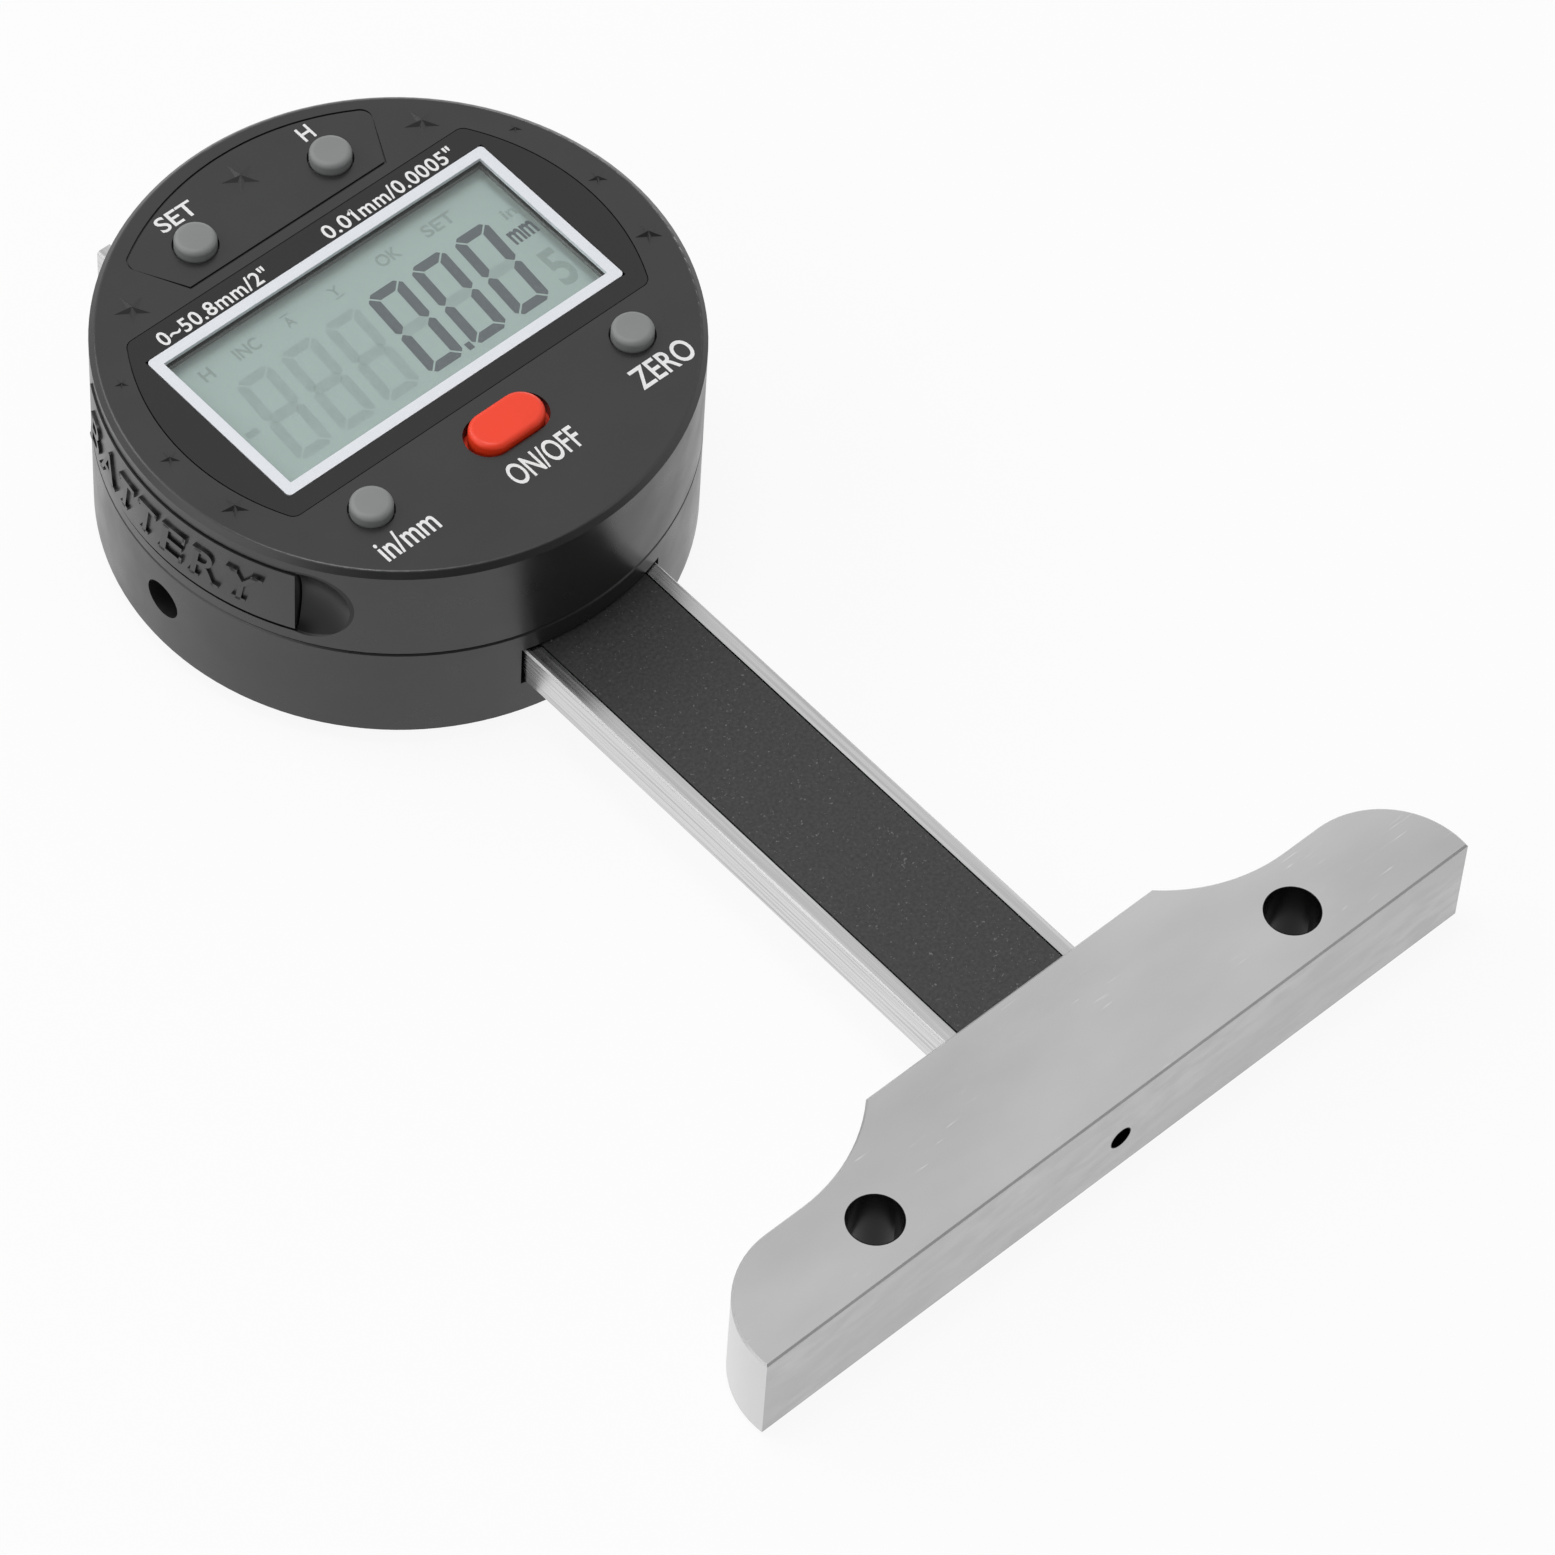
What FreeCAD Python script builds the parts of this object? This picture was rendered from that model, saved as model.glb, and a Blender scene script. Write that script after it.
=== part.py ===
import FreeCAD, Part
import Sketcher
import math
import os

# Digital depth gauge: a round display head slides on a flat steel beam that stands on a T base.
# X runs along the base and the text on the display, Y runs from the base to the head, Z points
# out of the display. The origin is on the reference face, in the plane on which the gauge lies.
# All sizes are in millimetres.

V = FreeCAD.Vector
doc = FreeCAD.newDocument("digital_depth_gauge")
sheet = doc.addObject("Spreadsheet::Sheet", "dim")

SIZES = {
    # steel base
    "base_half_length": 45.0,
    "base_depth": 15.8,
    "base_thick": 11.6,
    "wing_depth": 10.8,
    "wing_flat": 4.47,
    "cove_radius": 18.4,
    "nose_radius": 9.6,
    "edge_break": 0.2,
    "base_hole_radius": 2.75,
    "base_hole_x": 26.8,
    "base_hole_y": 5.35,
    # steel beam and the scale in its channel
    "free_beam": 58.5,
    "beam_tail": 6.2,
    "beam_half_width": 8.45,
    "beam_bottom": 6.6,
    "beam_thick": 4.65,
    "beam_chamfer": 0.2,
    "channel_half_width": 6.85,
    "channel_gap": 0.18,
    "board_strip_thick": 1.0,
    "label_thick": 0.25,
    "strip_end_gap": 1.0,
    # tongue of the beam in the base, its screws and dowels
    "tongue_half_width": 7.0,
    "tongue_thick": 3.0,
    "tongue_length": 11.5,
    "fit_gap": 0.05,
    "base_screw_radius": 1.5,
    "base_screw_head_radius": 2.75,
    "base_screw_x": 4.9,
    "base_screw_inset": 5.7,
    "dowel_radius": 1.0,
    "dowel_inset": 1.7,
    "dowel_floor": 0.6,
    # stop under the far end of the beam
    "stop_half_width": 5.0,
    "stop_height": 3.2,
    "stop_gap": 0.4,
    "stop_end_gap": 0.6,
    "stop_screw_x": 2.6,
    # travel of the head and the rod under the beam
    "tip_park": 1.0,
    "rod_radius": 1.15,
    "rod_gap": 0.35,
    "bore_clearance": 0.07,
    "rod_grip": 14.0,
    "rod_screw_radius": 1.25,
    # round head
    "head_radius": 30.0,
    "back_thick": 1.8,
    "back_inset": 1.6,
    "back_spigot": 0.5,
    "deck_room": 0.35,
    "case_wall": 2.4,
    "deck_thick": 1.1,
    "face_thick": 1.6,
    "face_chamfer": 0.6,
    "face_round": 0.4,
    "seam_chamfer": 0.15,
    "seam_gap": 0.3,
    "seam_depth": 0.5,
    "slide_room": 0.35,
    "side_hole_radius": 2.2,
    "screw_gap": 0.05,
    # small screws in the head
    "small_screw_radius": 1.0,
    "small_head_radius": 1.8,
    "small_head_height": 1.1,
    "back_screw_grip": 6.0,
    "case_screw_grip": 6.3,
    "board_screw_grip": 3.0,
    "slider_screw_grip": 4.8,
    "back_screw_inset": 3.6,
    "back_screw_angle": 30.0,
    "back_boss_radius": 2.6,
    "case_boss_radius": 2.3,
    "case_screw_inset": 2.8,
    "case_screw_angle": 55.4,
    "case_screw_low_angle": 65.3,
    # runner of the head on the beam
    "frame_gap": 0.3,
    "shelf_step": 1.25,
    "rail_width": 3.2,
    "run_gap": 0.05,
    "sensor_gap": 0.3,
    "gib_thick": 0.8,
    "gib_end": 1.5,
    "gib_screw_radius": 1.5,
    "gib_screw_end": 6.5,
    "slider_screw_edge": 1.6,
    "slider_screw_end": 3.0,
    # boards
    "sensor_thick": 1.0,
    "sensor_end": 2.5,
    "board_inset": 2.4,
    "board_room": 0.85,
    "display_board_thick": 1.2,
    "display_board_depth": 5.8,
    "pillar_radius": 2.0,
    "pillar_high_inset": 7.1,
    "pillar_low_inset": 7.6,
    "pillar_low_angle": 57.3,
    "link_length": 8.0,
    "link_width": 2.5,
    "link_x": 5.5,
    "link_y": -8.2,
    "chip_side": 7.0,
    "chip_height": 0.8,
    # display
    "window_below_keys": 9.45,
    "window_above_power": 7.89,
    "frame_width": 1.2,
    "frame_proud": 0.05,
    "frame_thick": 0.45,
    "frame_corner": 0.5,
    "lens_thick": 0.6,
    "panel_thick": 0.5,
    "panel_below": 3.55,
    "panel_above": 4.3,
    "panel_side": 1.6,
    "panel_drop": 0.62,
    "panel_corner": 1.2,
    "panel_gap": 0.08,
    "lcd_margin": 1.8,
    "lcd_thick": 2.1,
    "lcd_gap": 0.1,
    "holder_wall": 1.2,
    "holder_corner_gap": 0.29,
    "strip_width": 2.2,
    "strip_end": 2.9,
    # outline groove round the two upper keys
    "plate_rim": 2.1,
    "plate_turn_half": 14.5,
    "plate_height": 6.94,
    "plate_side_step": 0.7,
    "plate_side_drop": 1.64,
    "plate_slant": 2.8,
    "plate_corner_bow": 0.73,
    "groove_width": 0.22,
    "groove_depth": 0.25,
    # keys
    "key_radius": 2.15,
    "key_round": 0.6,
    "key_proud": 1.3,
    "key_gap": 0.2,
    "key_flange": 0.5,
    "key_flange_height": 0.8,
    "key_stem_radius": 1.2,
    "rest_gap": 0.05,
    "keys_shift": 0.3,
    "upper_key_inset": 5.14,
    "upper_key_angle": 67.5,
    "lower_key_inset": 5.2,
    "lower_key_rise": 0.49,
    "power_key_inset": 12.06,
    "power_half_length": 4.19,
    "power_radius": 2.36,
    "power_proud": 1.0,
    "dome_radius": 2.7,
    "dome_height": 0.8,
    "dome_crown": 1.4,
    "dome_wall": 0.15,
    # battery compartment
    "door_half_angle": 30.4,
    "door_sill": 2.3,
    "door_head": 2.05,
    "door_thick": 2.5,
    "door_proud": 0.2,
    "door_gap": 0.15,
    "door_finger_gap": 0.65,
    "tab_inset": 2.94,
    "tab_width": 1.8,
    "tab_thick": 1.2,
    "tab_lift": 0.3,
    "tab_root": 0.8,
    "tab_reach": 4.2,
    "notch_radius": 4.7,
    "notch_offset": 0.9,
    "notch_depth": 1.6,
    "notch_wall": 0.8,
    "notch_overlap": 2.0,
    "cell_radius": 10.0,
    "cell_thick": 3.2,
    "cell_inset": 14.1,
    "holder_floor": 1.3,
    "cell_gap": 0.25,
    "holder_rim": 0.75,
    "leaf_reach": 11.0,
    "leaf_length": 17.0,
    "leaf_thick": 0.2,
    "leaf_width": 3.0,
}

# Levels and places that follow from the sizes. Places on the head are from its axis.
RULES = {
    # levels, from the table up
    "back_boss_end": "back_thick + back_spigot",
    "frame_bottom": "back_boss_end + frame_gap",
    "rod_z": "beam_bottom - rod_gap - rod_radius",
    "beam_top": "beam_bottom + beam_thick",
    "beam_middle": "beam_bottom + beam_thick / 2",
    "channel_floor": "beam_top - board_strip_thick - label_thick",
    "sensor_z": "beam_top + sensor_gap",
    "sensor_top": "sensor_z + sensor_thick",
    "deck": "sensor_top + deck_room",
    "seam": "deck + deck_thick",
    "cell_floor": "seam + holder_floor",
    "cell_z": "cell_floor + leaf_thick + rest_gap",
    "cell_top": "cell_z + cell_thick",
    "board_under": "cell_top + board_room",
    "board_z": "board_under + display_board_thick",
    "top": "board_z + display_board_depth",
    "under_face": "top - face_thick",
    "panel_z": "top - panel_thick",
    "frame_z": "top + frame_proud - frame_thick",
    "lens_z": "frame_z - lens_thick",
    "lcd_top": "under_face - rest_gap",
    "lcd_z": "lcd_top - lcd_thick",
    "flange_top": "under_face - rest_gap",
    "flange_low": "flange_top - key_flange_height",
    "stem_low": "board_z + dome_height + rest_gap",
    "door_low": "seam + door_sill",
    "door_top": "top - door_head",
    "opening_low": "door_low - door_finger_gap",
    "opening_top": "door_top + door_gap",
    # along the beam
    "tongue_start": "base_depth - tongue_length",
    "base_screw_y": "tongue_start + base_screw_inset",
    "dowel_y": "tongue_start + dowel_inset",
    "head_y": "base_depth + free_beam + head_radius",
    "beam_end": "head_y + head_radius + beam_tail",
    "stop_start": "head_y + head_radius + stop_gap",
    "stop_finish": "beam_end - stop_end_gap",
    "stop_middle": "(stop_start + stop_finish) / 2",
    "stop_thread": "channel_floor - beam_bottom - edge_break",
    # across the beam and the runner
    "strip_half": "channel_half_width - channel_gap",
    "way_right": "beam_half_width + run_gap",
    "gib_face": "way_right + gib_thick",
    "way_left": "gib_face + run_gap",
    "shelf_half_width": "way_left + shelf_step",
    "frame_half_width": "shelf_half_width + rail_width",
    # round the case
    "inner": "head_radius - case_wall",
    "back_screw_x": "(inner - back_screw_inset) * cos(back_screw_angle)",
    "back_screw_y": "(inner - back_screw_inset) * sin(back_screw_angle)",
    "case_screw_x": "(inner - case_screw_inset) * cos(case_screw_angle)",
    "case_screw_y": "(inner - case_screw_inset) * sin(case_screw_angle)",
    "case_screw_low_x": "(inner - case_screw_inset) * cos(case_screw_low_angle)",
    "case_screw_low_y": "(inner - case_screw_inset) * sin(case_screw_low_angle)",
    "pillar_high_y": "inner - pillar_high_inset",
    "pillar_low_x": "(inner - pillar_low_inset) * cos(pillar_low_angle)",
    "pillar_low_y": "(inner - pillar_low_inset) * sin(pillar_low_angle)",
    "board_radius": "inner - board_inset",
    "frame_half_length": "case_screw_y - small_head_radius - frame_gap",
    "slider_screw_x": "frame_half_width - slider_screw_edge",
    "slider_screw_y": "frame_half_length - slider_screw_end",
    "rod_screw_y": "rod_grip / 2 - frame_half_length",
    # keys
    "upper_key_x": "(inner - upper_key_inset) * cos(upper_key_angle)",
    "upper_key_y": "(inner - upper_key_inset) * sin(upper_key_angle)",
    "power_key_y": "power_key_inset - inner",
    "lower_key_y": "power_key_y + lower_key_rise",
    "lower_key_x": "sqrt((inner - lower_key_inset) ^ 2 - lower_key_y ^ 2)",
    # display: as wide as the round case lets its holder be
    "window_low": "power_key_y + window_above_power",
    "window_high": "upper_key_y - window_below_keys",
    "window_middle": "(window_low + window_high) / 2",
    "window_half_height": "(window_high - window_low) / 2",
    "holder_edge": "lcd_margin + lcd_gap + holder_wall",
    "holder_reach": "sqrt((inner - holder_corner_gap) ^ 2 - (window_high + holder_edge) ^ 2)",
    "window_half_width": "holder_reach - holder_edge",
    "trim_half_width": "window_half_width + frame_width",
    "trim_half_height": "window_half_height + frame_width",
    "lcd_half_width": "window_half_width + lcd_margin",
    "lcd_half_height": "window_half_height + lcd_margin",
    "panel_low": "window_low - panel_below",
    "panel_high": "window_high + panel_above",
    "panel_middle_y": "window_middle - panel_drop",
    "trim_corner_y": "window_high + frame_width - panel_middle_y",
    "panel_radius": "sqrt(trim_half_width ^ 2 + trim_corner_y ^ 2) + panel_side",
    "plate_radius": "head_radius - plate_rim",
    "face_radius": "head_radius - face_chamfer",
    "face_ease": "face_round * tan(22.5)",
    # battery compartment
    "opening_half": "door_half_angle + door_gap / head_radius * 180 / pi",
    "notch_turn": "opening_half + notch_offset / head_radius * 180 / pi",
    "notch_sphere": "(notch_radius ^ 2 + notch_depth ^ 2) / (2 * notch_depth)",
    "notch_span": "2 * (notch_radius + notch_offset) / head_radius * 180 / pi",
    "notch_middle": "opening_half + notch_span / 2 - notch_overlap",
    "notch_floor": "head_radius - notch_depth",
    "door_outer": "head_radius + door_proud",
    "door_inner": "door_outer - door_thick",
    "tab_y": "door_inner * sin(door_half_angle) - tab_inset",
    "tab_root_x": "sqrt(door_inner ^ 2 - tab_y ^ 2) + tab_root",
    "cell_x": "cell_inset - head_radius",
    "cell_pocket": "cell_radius + cell_gap",
    "holder_reach_cell": "cell_pocket + holder_rim + fit_gap",
    "leaf_end": "cell_x + holder_reach_cell + leaf_thick",
}

rows = [(name, str(value)) for name, value in SIZES.items()]
rows += [(name, f"={rule}") for name, rule in RULES.items()]
for row, (alias, text) in enumerate(rows, start=1):
    sheet.set(f"A{row}", alias)
    sheet.setAlias(f"B{row}", alias)
    sheet.set(f"B{row}", text)
doc.recompute()


def number(expression):
    """Value of an expression over the sizes, in millimetres or degrees."""
    return float(sheet.evalExpression(str(expression)))


def minus(expression):
    return f"-({expression})"


def bind(thing, field, expression):
    thing.setExpression(field, str(expression))


def place(thing, x="0", y="0", z="0"):
    """Tie the position of a sub-part to the sizes."""
    for axis, value in (("x", x), ("y", y), ("z", z)):
        bind(thing, f"Placement.Base.{axis}", value)


def body(label, y="0"):
    made = doc.addObject("PartDesign::Body", label)
    place(made, y=y)
    return made


def origin_plane(owner, role):
    return next(item for item in owner.Origin.OriginFeatures if item.Role == role)


def sketch(owner, name, plane="XY_Plane", x="0", y="0", out="0", turn="0"):
    """Sketch on a plane of its body; out is the distance along its normal, and turn swings the
    sketch about the vertical first."""
    made = owner.newObject("Sketcher::SketchObject", name)
    made.AttachmentSupport = [(origin_plane(owner, plane), "")]
    made.MapMode = "FlatFace"
    spot = f"vector({x} + ({out}) * sin({turn}); {y}; ({out}) * cos({turn}))"
    bind(made, "AttachmentOffset", f"placement({spot}; vector(0; 1; 0); {turn})")
    return made


def dimension(drawing, kind, *args):
    """Add a dimension whose value, the last argument, is an expression."""
    index = drawing.addConstraint(Sketcher.Constraint(kind, *args[:-1], number(args[-1])))
    bind(drawing, f"Constraints[{index}]", args[-1])


def circle(drawing, radius, x="0", y="0"):
    edge = drawing.addGeometry(Part.Circle(V(number(x), number(y), 0), V(0, 0, 1), number(radius)))
    dimension(drawing, "DistanceX", -1, 1, edge, 3, x)
    dimension(drawing, "DistanceY", -1, 1, edge, 3, y)
    dimension(drawing, "Radius", edge, radius)


def outline(drawing, corners, arcs=None):
    """Closed outline through the corners; arcs gives (radius, turn) for the side after a corner.
    The centre of a side that turns left lies to the left of the way along the outline."""
    arcs = arcs or {}
    points = [V(number(x), number(y), 0) for x, y in corners]
    sides = []
    for index, start in enumerate(points):
        end = points[(index + 1) % len(points)]
        first, last = 1, 2
        if index in arcs:
            radius, turn = number(arcs[index][0]), arcs[index][1]
            chord = end - start
            across = V(-chord.y, chord.x, 0).normalize()
            rise = math.sqrt(max(radius ** 2 - chord.Length ** 2 / 4, 0))
            centre = (start + end) * 0.5 + across * (rise if turn == "left" else -rise)
            angles = [math.atan2(p.y - centre.y, p.x - centre.x) for p in (start, end)]
            if turn == "right":
                angles.reverse()
                first, last = 2, 1
            shape = Part.ArcOfCircle(Part.Circle(centre, V(0, 0, 1), radius), *angles)
        else:
            shape = Part.LineSegment(start, end)
        sides.append((drawing.addGeometry(shape), first, last))
    for index, (edge, first, last) in enumerate(sides):
        following, following_first, _ = sides[(index + 1) % len(sides)]
        drawing.addConstraint(
            Sketcher.Constraint("Coincident", edge, last, following, following_first))
        dimension(drawing, "DistanceX", -1, 1, edge, first, corners[index][0])
        dimension(drawing, "DistanceY", -1, 1, edge, first, corners[index][1])
        if index in arcs:
            start, end = points[index], points[(index + 1) % len(points)]
            half_turn = abs((end - start).Length - 2 * number(arcs[index][0])) < 1e-6
            if not half_turn:
                dimension(drawing, "Radius", edge, arcs[index][0])
            elif abs(end.x - start.x) < abs(end.y - start.y):
                dimension(drawing, "DistanceX", -1, 1, edge, 3, corners[index][0])
            else:
                dimension(drawing, "DistanceY", -1, 1, edge, 3, corners[index][1])


def rectangle(drawing, x0, x1, y0, y1):
    outline(drawing, [(x0, y0), (x1, y0), (x1, y1), (x0, y1)])


def centred_rectangle(drawing, half_width, half_height):
    rectangle(drawing, minus(half_width), half_width, minus(half_height), half_height)


def obround(drawing, half_length, radius):
    """Long round-ended outline along x, centred on the sketch."""
    reach = f"({half_length} - {radius})"
    corners = [(minus(reach), minus(radius)), (reach, minus(radius)),
               (reach, radius), (minus(reach), radius)]
    outline(drawing, corners, {1: (radius, "left"), 3: (radius, "left")})


def feature(owner, kind, drawing, **settings):
    """Pad, pocket, revolution or groove from a sketch; text settings are expressions."""
    made = owner.newObject(f"PartDesign::{kind}", f"{drawing.Name}_{kind.lower()}")
    made.Profile = drawing
    if kind in ("Revolution", "Groove"):
        made.ReferenceAxis = (drawing, ["V_Axis"])
    for field, value in settings.items():
        if isinstance(value, str) and field in ("Length", "Angle"):
            bind(made, field, value)
        else:
            setattr(made, field, value)
    doc.recompute()
    return made


def pocket_through(owner, drawing):
    return feature(owner, "Pocket", drawing, Type="ThroughAll", Midplane=True)


def edges_at(shape, height):
    """Names of the edges that lie flat at a height."""
    return [f"Edge{index}" for index, edge in enumerate(shape.Edges, start=1)
            if all(abs(corner.Z - height) < 1e-6 for corner in edge.Vertexes)]


def upright_edges(shape, places):
    """Names of the upright edges that stand at the given places."""
    spots = [(number(x), number(y)) for x, y in places]
    names = []
    for index, edge in enumerate(shape.Edges, start=1):
        ends = [corner.Point for corner in edge.Vertexes]
        if len(ends) < 2 or (ends[0] - ends[1]).Length < 1e-6:
            continue
        for x, y in spots:
            if all(abs(end.x - x) < 1e-4 and abs(end.y - y) < 1e-4 for end in ends):
                names.append(f"Edge{index}")
    return names


def dress(owner, kind, base, edges, amount):
    made = owner.newObject(f"PartDesign::{kind}", f"{base.Name}_{kind.lower()}")
    made.Base = (base, edges)
    bind(made, "Radius" if kind == "Fillet" else "Size", amount)
    doc.recompute()
    return made


def rod_along(label, radius, length, direction, x="0", y="0", z="0"):
    """Cylinder that runs from its place along a direction."""
    made = doc.addObject("Part::Cylinder", label)
    bind(made, "Radius", radius)
    bind(made, "Height", length)
    made.Placement = FreeCAD.Placement(V(), FreeCAD.Rotation(V(0, 0, 1), direction))
    place(made, x, y, z)
    return made


def cone_up(label, low_radius, high_radius, height, x="0", y="0", z="0"):
    made = doc.addObject("Part::Cone", label)
    bind(made, "Radius1", low_radius)
    bind(made, "Radius2", high_radius)
    bind(made, "Height", height)
    place(made, x, y, z)
    return made


def block(label, x0, x1, y0, y1, z0, z1):
    """Box between two values on each axis."""
    made = doc.addObject("Part::Box", label)
    bind(made, "Length", f"({x1}) - ({x0})")
    bind(made, "Width", f"({y1}) - ({y0})")
    bind(made, "Height", f"({z1}) - ({z0})")
    place(made, x0, y0, z0)
    return made


def fuse(label, pieces):
    made = doc.addObject("Part::MultiFuse", label)
    made.Shapes = pieces
    return made


def cut(label, stock, tools):
    made = doc.addObject("Part::Cut", label)
    made.Base = stock
    made.Tool = tools[0] if len(tools) == 1 else fuse(f"{label}_tools", tools)
    return made


def group(label, pieces):
    made = doc.addObject("Part::Compound", label)
    made.Links = pieces
    return made


UP = V(0, 0, 1)
DOWN = V(0, 0, -1)
FORWARD = V(0, 1, 0)
LEFT = V(-1, 0, 0)
SIDES = (1, -1)
RIGHT_LEFT = (("right", 1), ("left", -1))


def signed(side, expression):
    return expression if side > 0 else minus(expression)


def pan_screw(label, shaft_length, direction, x, y, z):
    """Small pan-head screw; z is the seat of its head and direction is where the shaft points."""
    shaft = rod_along(f"{label}_shaft", "dim.small_screw_radius", shaft_length, direction, x, y, z)
    back = direction * -1
    head = rod_along(f"{label}_head", "dim.small_head_radius", "dim.small_head_height", back, x, y, z)
    return fuse(label, [shaft, head])


def flat_screw(label, radius, head_radius, length, direction, x, y, z):
    """Countersunk screw that points up or down, its flat head at z."""
    head_height = f"({head_radius} - {radius})"
    shaft = rod_along(f"{label}_shaft", radius, length, direction, x, y, z)
    if direction == UP:
        head = cone_up(f"{label}_head", head_radius, radius, head_height, x, y, z)
    else:
        head = cone_up(f"{label}_head", radius, head_radius, head_height, x, y, f"{z} - {head_height}")
    return fuse(label, [shaft, head])


def countersinks(owner, name, places, radius, head_radius, depth, face="0", direction=UP):
    """Holes up or down from a flat face, each with a countersink."""
    clear = f"({radius} + dim.screw_gap)"
    wide = f"({head_radius} + dim.screw_gap)"
    holes = sketch(owner, f"{name}_holes", out=face)
    for x, y in places:
        circle(holes, clear, x, y)
    feature(owner, "Pocket", holes, Length=depth, Reversed=direction == UP)
    drop = f"({head_radius} - {radius})"
    sink = f"({face} + {drop})" if direction == UP else f"({face} - {drop})"
    for index, (x, y) in enumerate(places):
        seat = sketch(owner, f"{name}_seat_{index}", "XZ_Plane", x=x, out=minus(y))
        outline(seat, [("0", face), (wide, face), (clear, sink), ("0", sink)])
        feature(owner, "Groove", seat, Angle="360")


# Steel base

def base_block():
    steel = body("base_block")
    nose_y = "(dim.wing_depth - dim.nose_radius)"
    nose_x = f"(dim.base_half_length - sqrt(dim.nose_radius ^ 2 - {nose_y} ^ 2))"
    cove_drop = "(dim.cove_radius + dim.wing_depth - dim.base_depth)"
    cove_x = f"({nose_x} - dim.wing_flat)"
    shoulder_x = f"({cove_x} - sqrt(dim.cove_radius ^ 2 - {cove_drop} ^ 2))"
    plan = sketch(steel, "base_plan")
    outline(plan, [
        ("-dim.base_half_length", "0"), ("dim.base_half_length", "0"),
        (nose_x, "dim.wing_depth"), (cove_x, "dim.wing_depth"),
        (shoulder_x, "dim.base_depth"), (minus(shoulder_x), "dim.base_depth"),
        (minus(cove_x), "dim.wing_depth"), (minus(nose_x), "dim.wing_depth"),
    ], {1: ("dim.nose_radius", "left"), 3: ("dim.cove_radius", "right"),
        5: ("dim.cove_radius", "right"), 7: ("dim.nose_radius", "left")})
    slab = feature(steel, "Pad", plan, Length="dim.base_thick")
    rims = edges_at(slab.Shape, 0) + edges_at(slab.Shape, number("dim.base_thick"))
    dress(steel, "Chamfer", slab, rims, "dim.edge_break")

    bolts = sketch(steel, "base_bolt_holes")
    for side in SIDES:
        circle(bolts, "dim.base_hole_radius", signed(side, "dim.base_hole_x"), "dim.base_hole_y")
    pocket_through(steel, bolts)

    # blind pocket for the beam's tongue, open at the back of the base
    seat = sketch(steel, "tongue_seat", "XZ_Plane", out="-dim.base_depth")
    half = "(dim.tongue_half_width + dim.fit_gap)"
    rectangle(seat, minus(half), half, "dim.beam_bottom - dim.fit_gap",
              "dim.beam_bottom + dim.tongue_thick + dim.fit_gap")
    feature(steel, "Pocket", seat, Length="dim.tongue_length + dim.fit_gap", Reversed=True)

    bore = sketch(steel, "rod_bore", "XZ_Plane")
    circle(bore, "dim.rod_radius + dim.bore_clearance", "0", "dim.rod_z")
    pocket_through(steel, bore)

    dowels = sketch(steel, "dowel_holes", out="dim.dowel_floor")
    for side in SIDES:
        circle(dowels, "dim.dowel_radius", signed(side, "dim.base_screw_x"), "dim.dowel_y")
    feature(steel, "Pocket", dowels, Length="dim.beam_bottom", Reversed=True)

    places = [(signed(side, "dim.base_screw_x"), "dim.base_screw_y") for side in SIDES]
    countersinks(steel, "base_screw", places, "dim.base_screw_radius",
                 "dim.base_screw_head_radius", "dim.beam_bottom")
    return steel


def base_fasteners():
    screws = []
    dowels = []
    for name, side in RIGHT_LEFT:
        x = signed(side, "dim.base_screw_x")
        screws.append(flat_screw(f"base_screw_{name}", "dim.base_screw_radius",
                                 "dim.base_screw_head_radius",
                                 "dim.beam_bottom + dim.tongue_thick - dim.fit_gap",
                                 UP, x, "dim.base_screw_y", "dim.fit_gap"))
        dowels.append(rod_along(f"base_dowel_{name}", "dim.dowel_radius - dim.fit_gap / 2",
                                "dim.beam_bottom + dim.tongue_thick - dim.dowel_floor - dim.fit_gap",
                                UP, x, "dim.dowel_y", "dim.dowel_floor"))
    return [group("base_screws", screws), group("base_dowels", dowels)]


# Steel beam with its scale

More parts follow.
